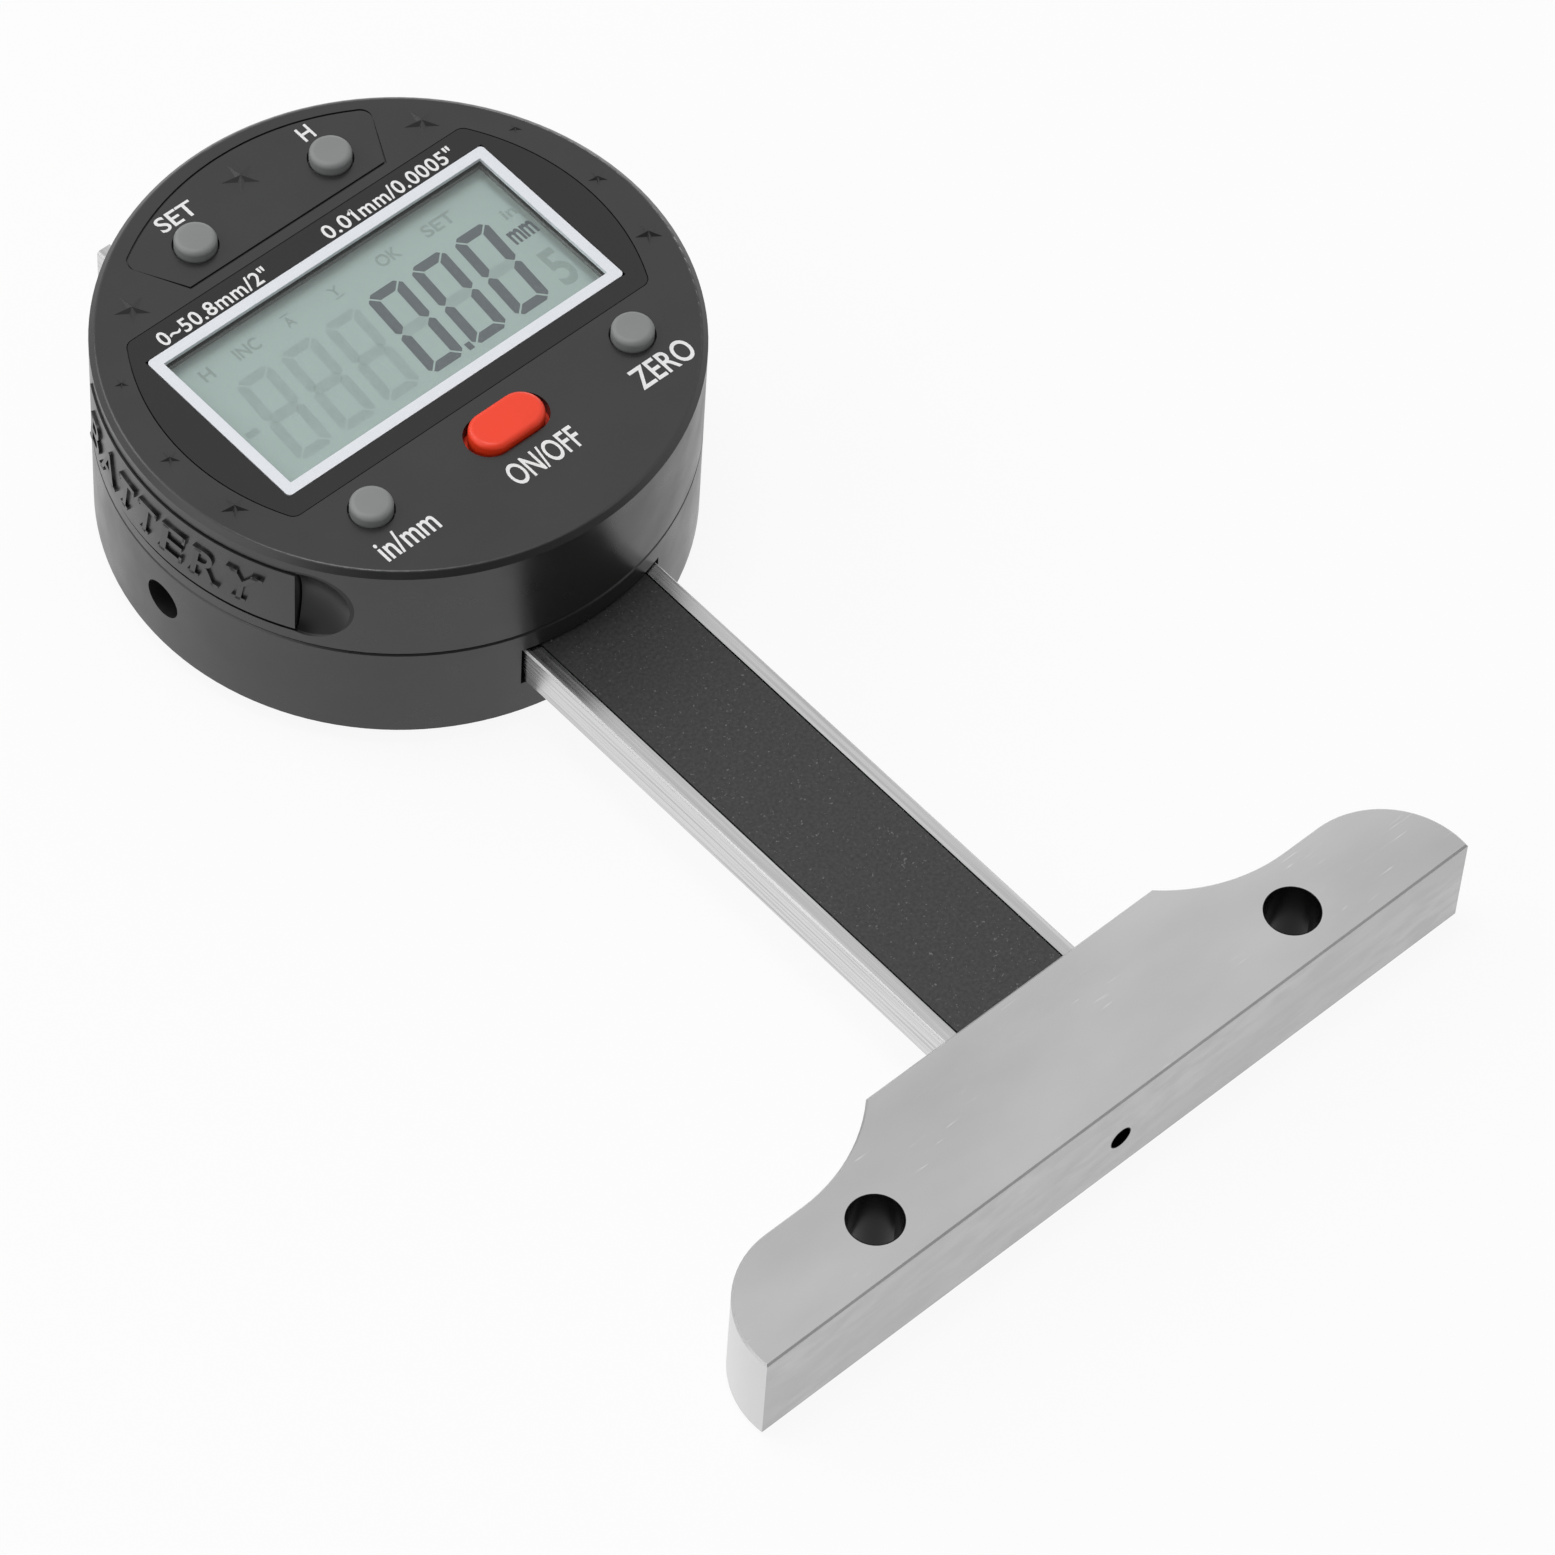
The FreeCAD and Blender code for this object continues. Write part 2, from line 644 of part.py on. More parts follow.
def scale_beam():
    steel = body("scale_beam")
    section = sketch(steel, "beam_section", "XZ_Plane", out="-dim.tongue_start")
    half, rise, inner = "dim.beam_half_width", "dim.beam_top", "dim.channel_half_width"
    chamfer = "dim.beam_chamfer"
    floor = "dim.channel_floor"
    right = [(f"{half} - {chamfer}", "dim.beam_bottom"), (half, f"dim.beam_bottom + {chamfer}"),
             (half, f"{rise} - {chamfer}"), (f"{half} - {chamfer}", rise),
             (inner, rise), (inner, floor)]
    left = [(minus(x), z) for x, z in reversed(right)]
    outline(section, right + left)
    feature(steel, "Pad", section, Length="dim.beam_end - dim.tongue_start", Reversed=True)

    # tongue at the base end: thinner and narrower than the beam
    past = "dim.fit_gap"
    above = sketch(steel, "tongue_top", "XZ_Plane", out="-dim.tongue_start")
    rectangle(above, minus(f"{half} + {past}"), f"{half} + {past}",
              "dim.beam_bottom + dim.tongue_thick", f"{rise} + {past}")
    feature(steel, "Pocket", above, Length="dim.tongue_length")
    for name, side in RIGHT_LEFT:
        shoulder = sketch(steel, f"tongue_side_{name}", "XZ_Plane", out="-dim.tongue_start")
        rectangle(shoulder, signed(side, "dim.tongue_half_width"), signed(side, f"{half} + {past}"),
                  f"dim.beam_bottom - {past}", f"dim.beam_bottom + dim.tongue_thick + {past}")
        feature(steel, "Pocket", shoulder, Length="dim.tongue_length")

    threads = sketch(steel, "tongue_threads")
    for side in SIDES:
        x = signed(side, "dim.base_screw_x")
        circle(threads, "dim.base_screw_radius + dim.screw_gap", x, "dim.base_screw_y")
        circle(threads, "dim.dowel_radius", x, "dim.dowel_y")
    pocket_through(steel, threads)

    tapped = sketch(steel, "stop_threads", out="dim.beam_bottom")
    for side in SIDES:
        circle(tapped, "dim.small_screw_radius + dim.screw_gap",
               signed(side, "dim.stop_screw_x"), "dim.stop_middle")
    feature(steel, "Pocket", tapped, Length="dim.stop_thread", Reversed=True)
    return steel


def scale_strips():
    """Board with the scale and the grained label over it, in the beam's channel."""
    y0, y1 = "dim.base_depth + dim.fit_gap", "dim.beam_end - dim.strip_end_gap"
    label_z = "(dim.beam_top - dim.label_thick)"
    board = block("scale_board", "-dim.strip_half", "dim.strip_half", y0, y1,
                  "dim.channel_floor", label_z)
    label = block("scale_label", "-dim.strip_half", "dim.strip_half", y0, y1,
                  label_z, "dim.beam_top")
    return [board, label]


def end_stop():
    """Block under the far end of the beam, so that the head can't run off."""
    low = "(dim.beam_bottom - dim.stop_height)"
    stock = block("end_stop_stock", "-dim.stop_half_width", "dim.stop_half_width",
                  "dim.stop_start", "dim.stop_finish", low, "dim.beam_bottom")
    tools = []
    screws = []
    seat = f"({low} + dim.small_head_height)"
    for name, side in RIGHT_LEFT:
        x = signed(side, "dim.stop_screw_x")
        tools.append(rod_along(f"stop_hole_{name}", "dim.small_screw_radius + dim.screw_gap",
                               "dim.stop_height", UP, x, "dim.stop_middle", low))
        tools.append(rod_along(f"stop_sink_{name}", "dim.small_head_radius + dim.screw_gap",
                               "dim.small_head_height", UP, x, "dim.stop_middle", low))
        length = "dim.stop_height - dim.small_head_height + dim.stop_thread - dim.fit_gap"
        screws.append(pan_screw(f"end_stop_screw_{name}", length, UP, x, "dim.stop_middle", seat))
    return [cut("end_stop", stock, tools), group("end_stop_screws", screws)]


# Case of the head. Its bodies are drawn about the head's axis and placed at "dim.head_y".

CASE_SCREWS = [("dim.case_screw_x", "dim.case_screw_y"),
               ("-dim.case_screw_x", "dim.case_screw_y"),
               ("dim.case_screw_low_x", "-dim.case_screw_low_y"),
               ("-dim.case_screw_low_x", "-dim.case_screw_low_y")]
BACK_SCREWS = [(signed(i, "dim.back_screw_x"), signed(j, "dim.back_screw_y")) for i in SIDES
               for j in SIDES]
SLIDER_SCREWS = [(signed(i, "dim.slider_screw_x"), signed(j, "dim.slider_screw_y"))
                 for i in SIDES for j in SIDES]
PILLARS = [("0", "dim.pillar_high_y"), ("dim.pillar_low_x", "-dim.pillar_low_y"),
           ("-dim.pillar_low_x", "-dim.pillar_low_y")]
ROUND_KEYS = {
    "set_button": ("dim.keys_shift - dim.upper_key_x", "dim.upper_key_y"),
    "hold_button": ("dim.keys_shift + dim.upper_key_x", "dim.upper_key_y"),
    "zero_button": ("dim.keys_shift + dim.lower_key_x", "dim.lower_key_y"),
    "unit_button": ("dim.keys_shift - dim.lower_key_x", "dim.lower_key_y"),
}


def shell_profile(name, owner, corners, arcs=None):
    """Turned shell from its half section: pairs of radius and height."""
    section = sketch(owner, name, "XZ_Plane")
    outline(section, corners, arcs)
    return feature(owner, "Revolution", section, Angle="360")


def rear_housing():
    shell = body("rear_housing", y="dim.head_y")
    outer, nick = "dim.head_radius", "dim.seam_chamfer"
    shell_profile("housing_section", shell, [
        ("0", "dim.deck"), ("dim.inner", "dim.deck"), ("dim.inner", "dim.back_thick"),
        (f"{outer} - {nick}", "dim.back_thick"), (outer, f"dim.back_thick + {nick}"),
        (outer, f"dim.seam - {nick}"), (f"{outer} - {nick}", "dim.seam"), ("0", "dim.seam")])

    posts = sketch(shell, "back_cover_posts", out="dim.back_boss_end")
    for x, y in BACK_SCREWS:
        circle(posts, "dim.back_boss_radius", x, y)
    feature(shell, "Pad", posts, Length="dim.deck - dim.back_boss_end")
    pilots = sketch(shell, "back_cover_pilots", out="dim.back_boss_end")
    for x, y in BACK_SCREWS:
        circle(pilots, "dim.small_screw_radius + dim.screw_gap", x, y)
    feature(shell, "Pocket", pilots, Length="dim.back_screw_grip", Reversed=True)

    # the beam runs right through the housing, and the rod leaves under it
    slot = sketch(shell, "beam_slot", "XZ_Plane")
    half = "(dim.beam_half_width + dim.slide_room)"
    rectangle(slot, minus(half), half, "dim.beam_bottom - dim.slide_room",
              "dim.beam_top + dim.slide_room")
    pocket_through(shell, slot)
    rod_way = sketch(shell, "rod_way", "XZ_Plane")
    circle(rod_way, "dim.rod_radius + dim.slide_room", "0", "dim.rod_z")
    feature(shell, "Pocket", rod_way, Length="dim.head_radius * 2", Reversed=True)

    side = sketch(shell, "side_hole", "YZ_Plane")
    circle(side, "dim.side_hole_radius", "0", "dim.beam_middle")
    feature(shell, "Pocket", side, Length="dim.head_radius * 2")

    holes = sketch(shell, "deck_holes", out="dim.seam")
    for x, y in CASE_SCREWS:
        circle(holes, "dim.small_screw_radius + dim.screw_gap", x, y)
    feature(shell, "Pocket", holes, Length="dim.deck_thick")
    countersinks(shell, "runner", SLIDER_SCREWS, "dim.small_screw_radius", "dim.small_head_radius",
                 "dim.deck_thick", "dim.seam", DOWN)
    link = sketch(shell, "link_window", x="dim.link_x", y="dim.link_y", out="dim.seam")
    rectangle(link, "-dim.link_length / 2 - dim.slide_room", "dim.link_length / 2 + dim.slide_room",
              "-dim.link_width / 2 - dim.slide_room", "dim.link_width / 2 + dim.slide_room")
    feature(shell, "Pocket", link, Length="dim.deck_thick")
    return shell


def back_cover():
    plate = body("back_cover", y="dim.head_y")
    rim = "(dim.head_radius - dim.back_inset)"
    spigot = "(dim.inner - dim.slide_room)"
    shell_profile("back_cover_section", plate, [
        ("0", "0"), (f"{rim} - dim.face_chamfer", "0"), (rim, "dim.face_chamfer"),
        (rim, "dim.back_thick"), (spigot, "dim.back_thick"), (spigot, "dim.back_boss_end"),
        ("0", "dim.back_boss_end")])
    countersinks(plate, "back_cover", BACK_SCREWS, "dim.small_screw_radius",
                 "dim.small_head_radius", "dim.back_boss_end")
    return plate


def case_fasteners():
    back = []
    case = []
    for index, (x, y) in enumerate(BACK_SCREWS):
        screw = flat_screw(f"back_screw_{index}", "dim.small_screw_radius", "dim.small_head_radius",
                           "dim.back_boss_end + dim.back_screw_grip - 2 * dim.fit_gap",
                           UP, x, f"dim.head_y + ({y})", "dim.fit_gap")
        back.append(screw)
    for index, (x, y) in enumerate(CASE_SCREWS):
        case.append(pan_screw(f"case_screw_{index}",
                              "dim.deck_thick + dim.case_screw_grip - dim.fit_gap",
                              UP, x, f"dim.head_y + ({y})", "dim.deck"))
    return [group("back_cover_screws", back), group("case_screws", case)]


def inlay_half_width(level):
    """Half width of the dark inlay at a height on the face: its sides are one circle."""
    return f"sqrt(dim.panel_radius ^ 2 - ({level} - dim.panel_middle_y) ^ 2)"


PANEL_CORNERS = [(signed(side, inlay_half_width(level)), level)
                 for side in SIDES for level in ("dim.panel_low", "dim.panel_high")]


def inlay_outline(drawing, gap):
    """Dark inlay round the display: two straight edges and two round sides."""
    low, high = "dim.panel_low", "dim.panel_high"
    wide_low = f"({inlay_half_width(low)} - {gap})"
    wide_high = f"({inlay_half_width(high)} - {gap})"
    corners = [(minus(wide_low), f"{low} + {gap}"), (wide_low, f"{low} + {gap}"),
               (wide_high, f"{high} - {gap}"), (minus(wide_high), f"{high} - {gap}")]
    outline(drawing, corners, {1: ("dim.panel_radius", "left"), 3: ("dim.panel_radius", "left")})
    return corners


def key_plate_outline(drawing, grow):
    """Outline round the two upper keys: slanted ends and a top that follows the face's rim."""
    top_radius = f"(dim.plate_radius + {grow})"
    turn_x = f"(dim.plate_turn_half + {grow} / 2)"
    turn_y = f"sqrt({top_radius} ^ 2 - {turn_x} ^ 2)"
    side_x, side_y = f"({turn_x} + dim.plate_side_step)", f"({turn_y} - dim.plate_side_drop)"
    low_x, low_y = f"({side_x} - dim.plate_slant)", f"({turn_y} - dim.plate_height - 2 * {grow})"
    corner = "dim.plate_corner_bow * sqrt(dim.plate_side_step ^ 2 + dim.plate_side_drop ^ 2)"
    corners = [(minus(low_x), low_y), (low_x, low_y), (side_x, side_y),
               (turn_x, turn_y), (minus(turn_x), turn_y), (minus(side_x), side_y)]
    outline(drawing, corners, {2: (corner, "left"), 3: (top_radius, "left"), 4: (corner, "left")})


def front_cover():
    shell = body("front_cover", y="dim.head_y")
    outer, foot = "dim.head_radius", "(dim.head_radius - dim.seam_depth)"
    slant = "dim.face_ease * cos(45)"
    shell_profile("cover_section", shell, [
        ("0", "dim.under_face"), ("dim.inner", "dim.under_face"), ("dim.inner", "dim.seam"),
        (foot, "dim.seam"), (foot, "dim.seam + dim.seam_gap"), (outer, "dim.seam + dim.seam_gap"),
        (outer, "dim.top - dim.face_chamfer"), (f"dim.face_radius + {slant}", f"dim.top - {slant}"),
        ("dim.face_radius - dim.face_ease", "dim.top"), ("0", "dim.top")],
        {7: ("dim.face_round", "left")})

    bosses = sketch(shell, "case_bosses", out="dim.seam")
    for x, y in CASE_SCREWS:
        circle(bosses, "dim.case_boss_radius", x, y)
    feature(shell, "Pad", bosses, Length="dim.under_face - dim.seam")
    boss_pilots = sketch(shell, "case_pilots", out="dim.seam")
    for x, y in CASE_SCREWS:
        circle(boss_pilots, "dim.small_screw_radius + dim.screw_gap", x, y)
    feature(shell, "Pocket", boss_pilots, Length="dim.case_screw_grip", Reversed=True)

    pillars = sketch(shell, "board_pillars", out="dim.board_z")
    for x, y in PILLARS:
        circle(pillars, "dim.pillar_radius", x, y)
    feature(shell, "Pad", pillars, Length="dim.under_face - dim.board_z")
    pillar_pilots = sketch(shell, "pillar_pilots", out="dim.board_z")
    for x, y in PILLARS:
        circle(pillar_pilots, "dim.small_screw_radius + dim.screw_gap", x, y)
    feature(shell, "Pocket", pillar_pilots, Length="dim.board_screw_grip", Reversed=True)

    # thick spot of the wall behind the nail notch, then the battery opening and the notch
    backing = sketch(shell, "notch_backing", "XZ_Plane", turn="dim.notch_middle")
    rectangle(backing, minus("dim.inner + dim.notch_wall"), minus("dim.notch_floor - dim.notch_wall"),
              "dim.seam", "dim.under_face")
    feature(shell, "Revolution", backing, Angle="dim.notch_span", Midplane=True)
    opening = sketch(shell, "battery_opening", "XZ_Plane")
    rectangle(opening, minus("dim.head_radius + dim.fit_gap"), minus("dim.inner - dim.fit_gap"),
              "dim.opening_low", "dim.opening_top")
    feature(shell, "Groove", opening, Angle="2 * dim.opening_half", Midplane=True)
    notch = sketch(shell, "nail_notch", "XZ_Plane", y="(dim.opening_low + dim.opening_top) / 2",
                   out="dim.head_radius + dim.notch_sphere - dim.notch_depth",
                   turn="dim.notch_turn - 90")
    sphere = "dim.notch_sphere"
    outline(notch, [("0", minus(sphere)), ("0", sphere)], {0: (sphere, "left")})
    feature(shell, "Groove", notch, Angle="360")

    # display opening: a hole with a ledge for the window, then the shallow bed of the inlay
    hole = sketch(shell, "display_hole", y="dim.window_middle", out="dim.top")
    centred_rectangle(hole, "dim.window_half_width", "dim.window_half_height")
    feature(shell, "Pocket", hole, Length="dim.face_thick")
    ledge = sketch(shell, "window_ledge", y="dim.window_middle", out="dim.top")
    centred_rectangle(ledge, "dim.trim_half_width + dim.panel_gap",
                      "dim.trim_half_height + dim.panel_gap")
    feature(shell, "Pocket", ledge, Length="dim.top - dim.lens_z")
    bed = sketch(shell, "inlay_bed", out="dim.top")
    inlay_outline(bed, "0")
    recess = feature(shell, "Pocket", bed, Length="dim.panel_thick")
    dress(shell, "Fillet", recess, upright_edges(recess.Shape, PANEL_CORNERS), "dim.panel_corner")

    holes = sketch(shell, "key_holes", out="dim.top")
    for x, y in ROUND_KEYS.values():
        circle(holes, "dim.key_radius + dim.key_gap", x, y)
    feature(shell, "Pocket", holes, Length="dim.face_thick")
    long_hole = sketch(shell, "power_key_hole", "XY_Plane", "dim.keys_shift", "dim.power_key_y",
                       "dim.top")
    obround(long_hole, "dim.power_half_length + dim.key_gap", "dim.power_radius + dim.key_gap")
    feature(shell, "Pocket", long_hole, Length="dim.face_thick")

    groove = sketch(shell, "key_plate_groove", x="dim.keys_shift", out="dim.top")
    key_plate_outline(groove, "dim.groove_width / 2")
    key_plate_outline(groove, "-dim.groove_width / 2")
    feature(shell, "Pocket", groove, Length="dim.groove_depth")
    return shell


# Display

def display_panel():
    inlay = body("display_panel", y="dim.head_y")
    plan = sketch(inlay, "inlay_plan", out="dim.panel_z")
    corners = inlay_outline(plan, "dim.panel_gap")
    plate = feature(inlay, "Pad", plan, Length="dim.panel_thick")
    rounded = dress(inlay, "Fillet", plate, upright_edges(plate.Shape, corners),
                    "dim.panel_corner - dim.panel_gap")
    hole = sketch(inlay, "inlay_window", y="dim.window_middle", out="dim.top")
    centred_rectangle(hole, "dim.trim_half_width + dim.panel_gap",
                      "dim.trim_half_height + dim.panel_gap")
    feature(inlay, "Pocket", hole, Length="dim.panel_thick")
    return inlay


def window_frame():
    trim = body("window_frame", y="dim.head_y")
    plan = sketch(trim, "frame_plan", y="dim.window_middle", out="dim.frame_z")
    centred_rectangle(plan, "dim.trim_half_width", "dim.trim_half_height")
    plate = feature(trim, "Pad", plan, Length="dim.frame_thick")
    levels = ("dim.window_middle + dim.trim_half_height", "dim.window_middle - dim.trim_half_height")
    corners = [(x, y) for x in ("dim.trim_half_width", "-dim.trim_half_width") for y in levels]
    dress(trim, "Fillet", plate, upright_edges(plate.Shape, corners), "dim.frame_corner")
    hole = sketch(trim, "frame_opening", y="dim.window_middle", out="dim.frame_z")
    centred_rectangle(hole, "dim.window_half_width", "dim.window_half_height")
    feature(trim, "Pocket", hole, Length="dim.frame_thick", Reversed=True)
    return trim


def head_block(label, x0, x1, y0, y1, z0, z1):
    """Box whose y values are measured from the head's axis."""
    return block(label, x0, x1, f"dim.head_y + ({y0})", f"dim.head_y + ({y1})", z0, z1)


def display_stack():
    """Clear window, display cell, its contact strips, holder and board, from the top down."""
    window_y = ("dim.window_middle - dim.trim_half_height", "dim.window_middle + dim.trim_half_height")
    lens = head_block("display_window", "-dim.trim_half_width", "dim.trim_half_width", *window_y,
                      "dim.lens_z", "dim.frame_z")
    glass_y = ("dim.window_middle - dim.lcd_half_height", "dim.window_middle + dim.lcd_half_height")
    glass = head_block("lcd_glass", "-dim.lcd_half_width", "dim.lcd_half_width", *glass_y,
                       "dim.lcd_z", "dim.lcd_top")
    strips = []
    strip_reach = "(dim.lcd_half_width - dim.strip_end)"
    for name, y0, y1 in (("low", glass_y[0], f"{glass_y[0]} + dim.strip_width"),
                         ("high", f"{glass_y[1]} - dim.strip_width", glass_y[1])):
        strips.append(head_block(f"lcd_strip_{name}", minus(strip_reach), strip_reach, y0, y1,
                                 "dim.board_z", "dim.lcd_z"))
    inner_x, inner_y = "(dim.lcd_half_width + dim.lcd_gap)", "(dim.lcd_half_height + dim.lcd_gap)"
    outer_x, outer_y = f"({inner_x} + dim.holder_wall)", f"({inner_y} + dim.holder_wall)"
    walls = []
    for name, x, y in (("outside", outer_x, outer_y), ("inside", inner_x, inner_y)):
        walls.append(head_block(f"lcd_holder_{name}", minus(x), x, f"dim.window_middle - {y}",
                                f"dim.window_middle + {y}", "dim.board_z", "dim.lcd_top"))
    return [lens, glass, group("lcd_strips", strips), cut("lcd_holder", walls[0], [walls[1]])]


def boards():
    disc = rod_along("display_board_disc", "dim.board_radius", "dim.display_board_thick", UP,
                     "0", "dim.head_y", "dim.board_under")
    tools = []
    screws = []
    for index, (x, y) in enumerate(CASE_SCREWS):
        tools.append(rod_along(f"board_relief_{index}", "dim.case_boss_radius + dim.slide_room",
                               "dim.display_board_thick", UP, x, f"dim.head_y + ({y})",
                               "dim.board_under"))
    for index, (x, y) in enumerate(PILLARS):
        place_y = f"dim.head_y + ({y})"
        tools.append(rod_along(f"board_hole_{index}", "dim.small_screw_radius + dim.screw_gap",
                               "dim.display_board_thick", UP, x, place_y, "dim.board_under"))
        screws.append(pan_screw(f"board_screw_{index}",
                                "dim.display_board_thick + dim.board_screw_grip - dim.fit_gap",
                                UP, x, place_y, "dim.board_under"))
    shelf = "(dim.shelf_half_width - dim.slide_room)"
    sensor_reach = "(dim.frame_half_length - dim.sensor_end)"
    sensor = head_block("sensor_board", minus(shelf), shelf, minus(sensor_reach), sensor_reach,
                        "dim.sensor_z", "dim.sensor_top")
    half_long, half_wide, half_chip = "dim.link_length / 2", "dim.link_width / 2", "dim.chip_side / 2"
    link = head_block("board_link", f"dim.link_x - {half_long}", f"dim.link_x + {half_long}",
                      f"dim.link_y - {half_wide}", f"dim.link_y + {half_wide}",
                      "dim.sensor_top", "dim.board_under")
    chip = head_block("display_chip", f"dim.link_x - {half_chip}", f"dim.link_x + {half_chip}",
                      f"-dim.link_y - {half_chip}", f"-dim.link_y + {half_chip}",
                      "dim.board_under - dim.chip_height", "dim.board_under")
    return [cut("display_board", disc, tools), group("board_screws", screws), sensor, link, chip]


# Runner on the beam

def slider_frame():
    metal = body("slider_frame", y="dim.head_y")
    section = sketch(metal, "frame_section", "XZ_Plane", out="dim.frame_half_length")
    wide, shelf = "dim.frame_half_width", "dim.shelf_half_width"
    floor, step = "(dim.beam_bottom - dim.run_gap)", "dim.sensor_z"
    outline(section, [
        (minus(wide), "dim.frame_bottom"), (wide, "dim.frame_bottom"), (wide, "dim.deck"),
        (shelf, "dim.deck"), (shelf, step), ("dim.way_right", step), ("dim.way_right", floor),
        ("-dim.way_left", floor), ("-dim.way_left", step), (minus(shelf), step),
        (minus(shelf), "dim.deck"), (minus(wide), "dim.deck")])
    feature(metal, "Pad", section, Length="2 * dim.frame_half_length", Reversed=True)

    grip = sketch(metal, "rod_seat", "XZ_Plane", out="dim.frame_half_length")
    circle(grip, "dim.rod_radius + dim.fit_gap / 2", "0", "dim.rod_z")
    feature(metal, "Pocket", grip, Length="dim.rod_grip + dim.fit_gap")
    tapped = sketch(metal, "rod_screw_thread", out="dim.frame_bottom")
    circle(tapped, "dim.rod_screw_radius + dim.screw_gap", "0", "dim.rod_screw_y")
    feature(metal, "Pocket", tapped, Length="dim.rod_z - dim.frame_bottom", Reversed=True)
    gibs = sketch(metal, "gib_threads", "YZ_Plane")
    for y in GIB_SCREWS:
        circle(gibs, "dim.gib_screw_radius + dim.screw_gap", y, "dim.beam_middle")
    feature(metal, "Pocket", gibs, Length="dim.frame_half_width + dim.fit_gap")
    rails = sketch(metal, "rail_threads", out="dim.deck")
    for x, y in SLIDER_SCREWS:
        circle(rails, "dim.small_screw_radius + dim.screw_gap", x, y)
    feature(metal, "Pocket", rails, Length="dim.slider_screw_grip")
    return metal


GIB_SCREW_Y = "(dim.frame_half_length - dim.gib_screw_end)"
GIB_SCREWS = [minus(GIB_SCREW_Y), "0", GIB_SCREW_Y]


def runner_parts():
    rod_end = "(dim.head_y - dim.frame_half_length + dim.rod_grip)"
    rod = rod_along("depth_rod", "dim.rod_radius", f"{rod_end} - dim.tip_park", FORWARD,
                    "0", "dim.tip_park", "dim.rod_z")
    set_screw = rod_along("rod_set_screw", "dim.rod_screw_radius",
                          "dim.rod_z - dim.rod_radius - dim.frame_bottom - dim.fit_gap", UP,
                          "0", "dim.head_y + dim.rod_screw_y", "dim.frame_bottom + dim.fit_gap")
    gib_reach = "(dim.frame_half_length - dim.gib_end)"
    strip = head_block("gib_strip", "-dim.gib_face", "-dim.way_right", minus(gib_reach), gib_reach,
                       "dim.beam_bottom + dim.fit_gap", "dim.beam_top - dim.fit_gap")
    gib_screws = []
    for index, y in enumerate(GIB_SCREWS):
        gib_screws.append(rod_along(f"gib_screw_{index}", "dim.gib_screw_radius",
                                    "dim.frame_half_width - dim.gib_face - dim.screw_gap", LEFT,
                                    "-dim.gib_face", f"dim.head_y + ({y})", "dim.beam_middle"))
    holders = []
    for index, (x, y) in enumerate(SLIDER_SCREWS):
        holders.append(flat_screw(f"slider_screw_{index}", "dim.small_screw_radius",
                                  "dim.small_head_radius",
                                  "dim.deck_thick + dim.slider_screw_grip - 2 * dim.fit_gap",
                                  DOWN, x, f"dim.head_y + ({y})", "dim.seam - dim.fit_gap"))
    return [rod, set_screw, strip, group("gib_screws", gib_screws), group("slider_screws", holders)]


# Keys and the snap domes under them

def round_key(label, x, y):
    key = doc.addObject("PartDesign::Body", label)
    place(key, x, f"dim.head_y + ({y})")
    top = "(dim.top + dim.key_proud)"
    section = sketch(key, f"{label}_section", "XZ_Plane")
    flange = "(dim.key_radius + dim.key_flange)"
    outline(section, [
        ("0", "dim.stem_low"), ("dim.key_stem_radius", "dim.stem_low"),
        ("dim.key_stem_radius", "dim.flange_low"),
        (flange, "dim.flange_low"), (flange, "dim.flange_top"), ("dim.key_radius", "dim.flange_top"),
        ("dim.key_radius", f"{top} - dim.key_round"), ("dim.key_radius - dim.key_round", top),
        ("0", top)], {6: ("dim.key_round", "left")})
    feature(key, "Revolution", section, Angle="360")
    return key


def power_key():
    key = doc.addObject("PartDesign::Body", "power_button")
    place(key, "dim.keys_shift", "dim.head_y + dim.power_key_y")
    top = "(dim.top + dim.power_proud)"
    cap = sketch(key, "power_cap", out="dim.flange_top")
    obround(cap, "dim.power_half_length", "dim.power_radius")
    solid = feature(key, "Pad", cap, Length=f"{top} - dim.flange_top")
    dress(key, "Fillet", solid, edges_at(solid.Shape, number(top)), "dim.key_round")
    flange = sketch(key, "power_flange", out="dim.flange_low")
    obround(flange, "dim.power_half_length + dim.key_flange", "dim.power_radius + dim.key_flange")
    feature(key, "Pad", flange, Length="dim.key_flange_height")
    stem = sketch(key, "power_stem", out="dim.stem_low")
    circle(stem, "dim.key_stem_radius")
    feature(key, "Pad", stem, Length="dim.flange_low - dim.stem_low")
    return key


def snap_dome(label, x, y):
    place_y = f"dim.head_y + ({y})"
    outside = cone_up(f"{label}_outside", "dim.dome_radius", "dim.dome_crown", "dim.dome_height",
                      x, place_y, "dim.board_z")
    inside = cone_up(f"{label}_inside", "dim.dome_radius - dim.dome_wall",
                     "dim.dome_crown - dim.dome_wall", "dim.dome_height - dim.dome_wall",
                     x, place_y, "dim.board_z")
    return cut(label, outside, [inside])


# Battery compartment

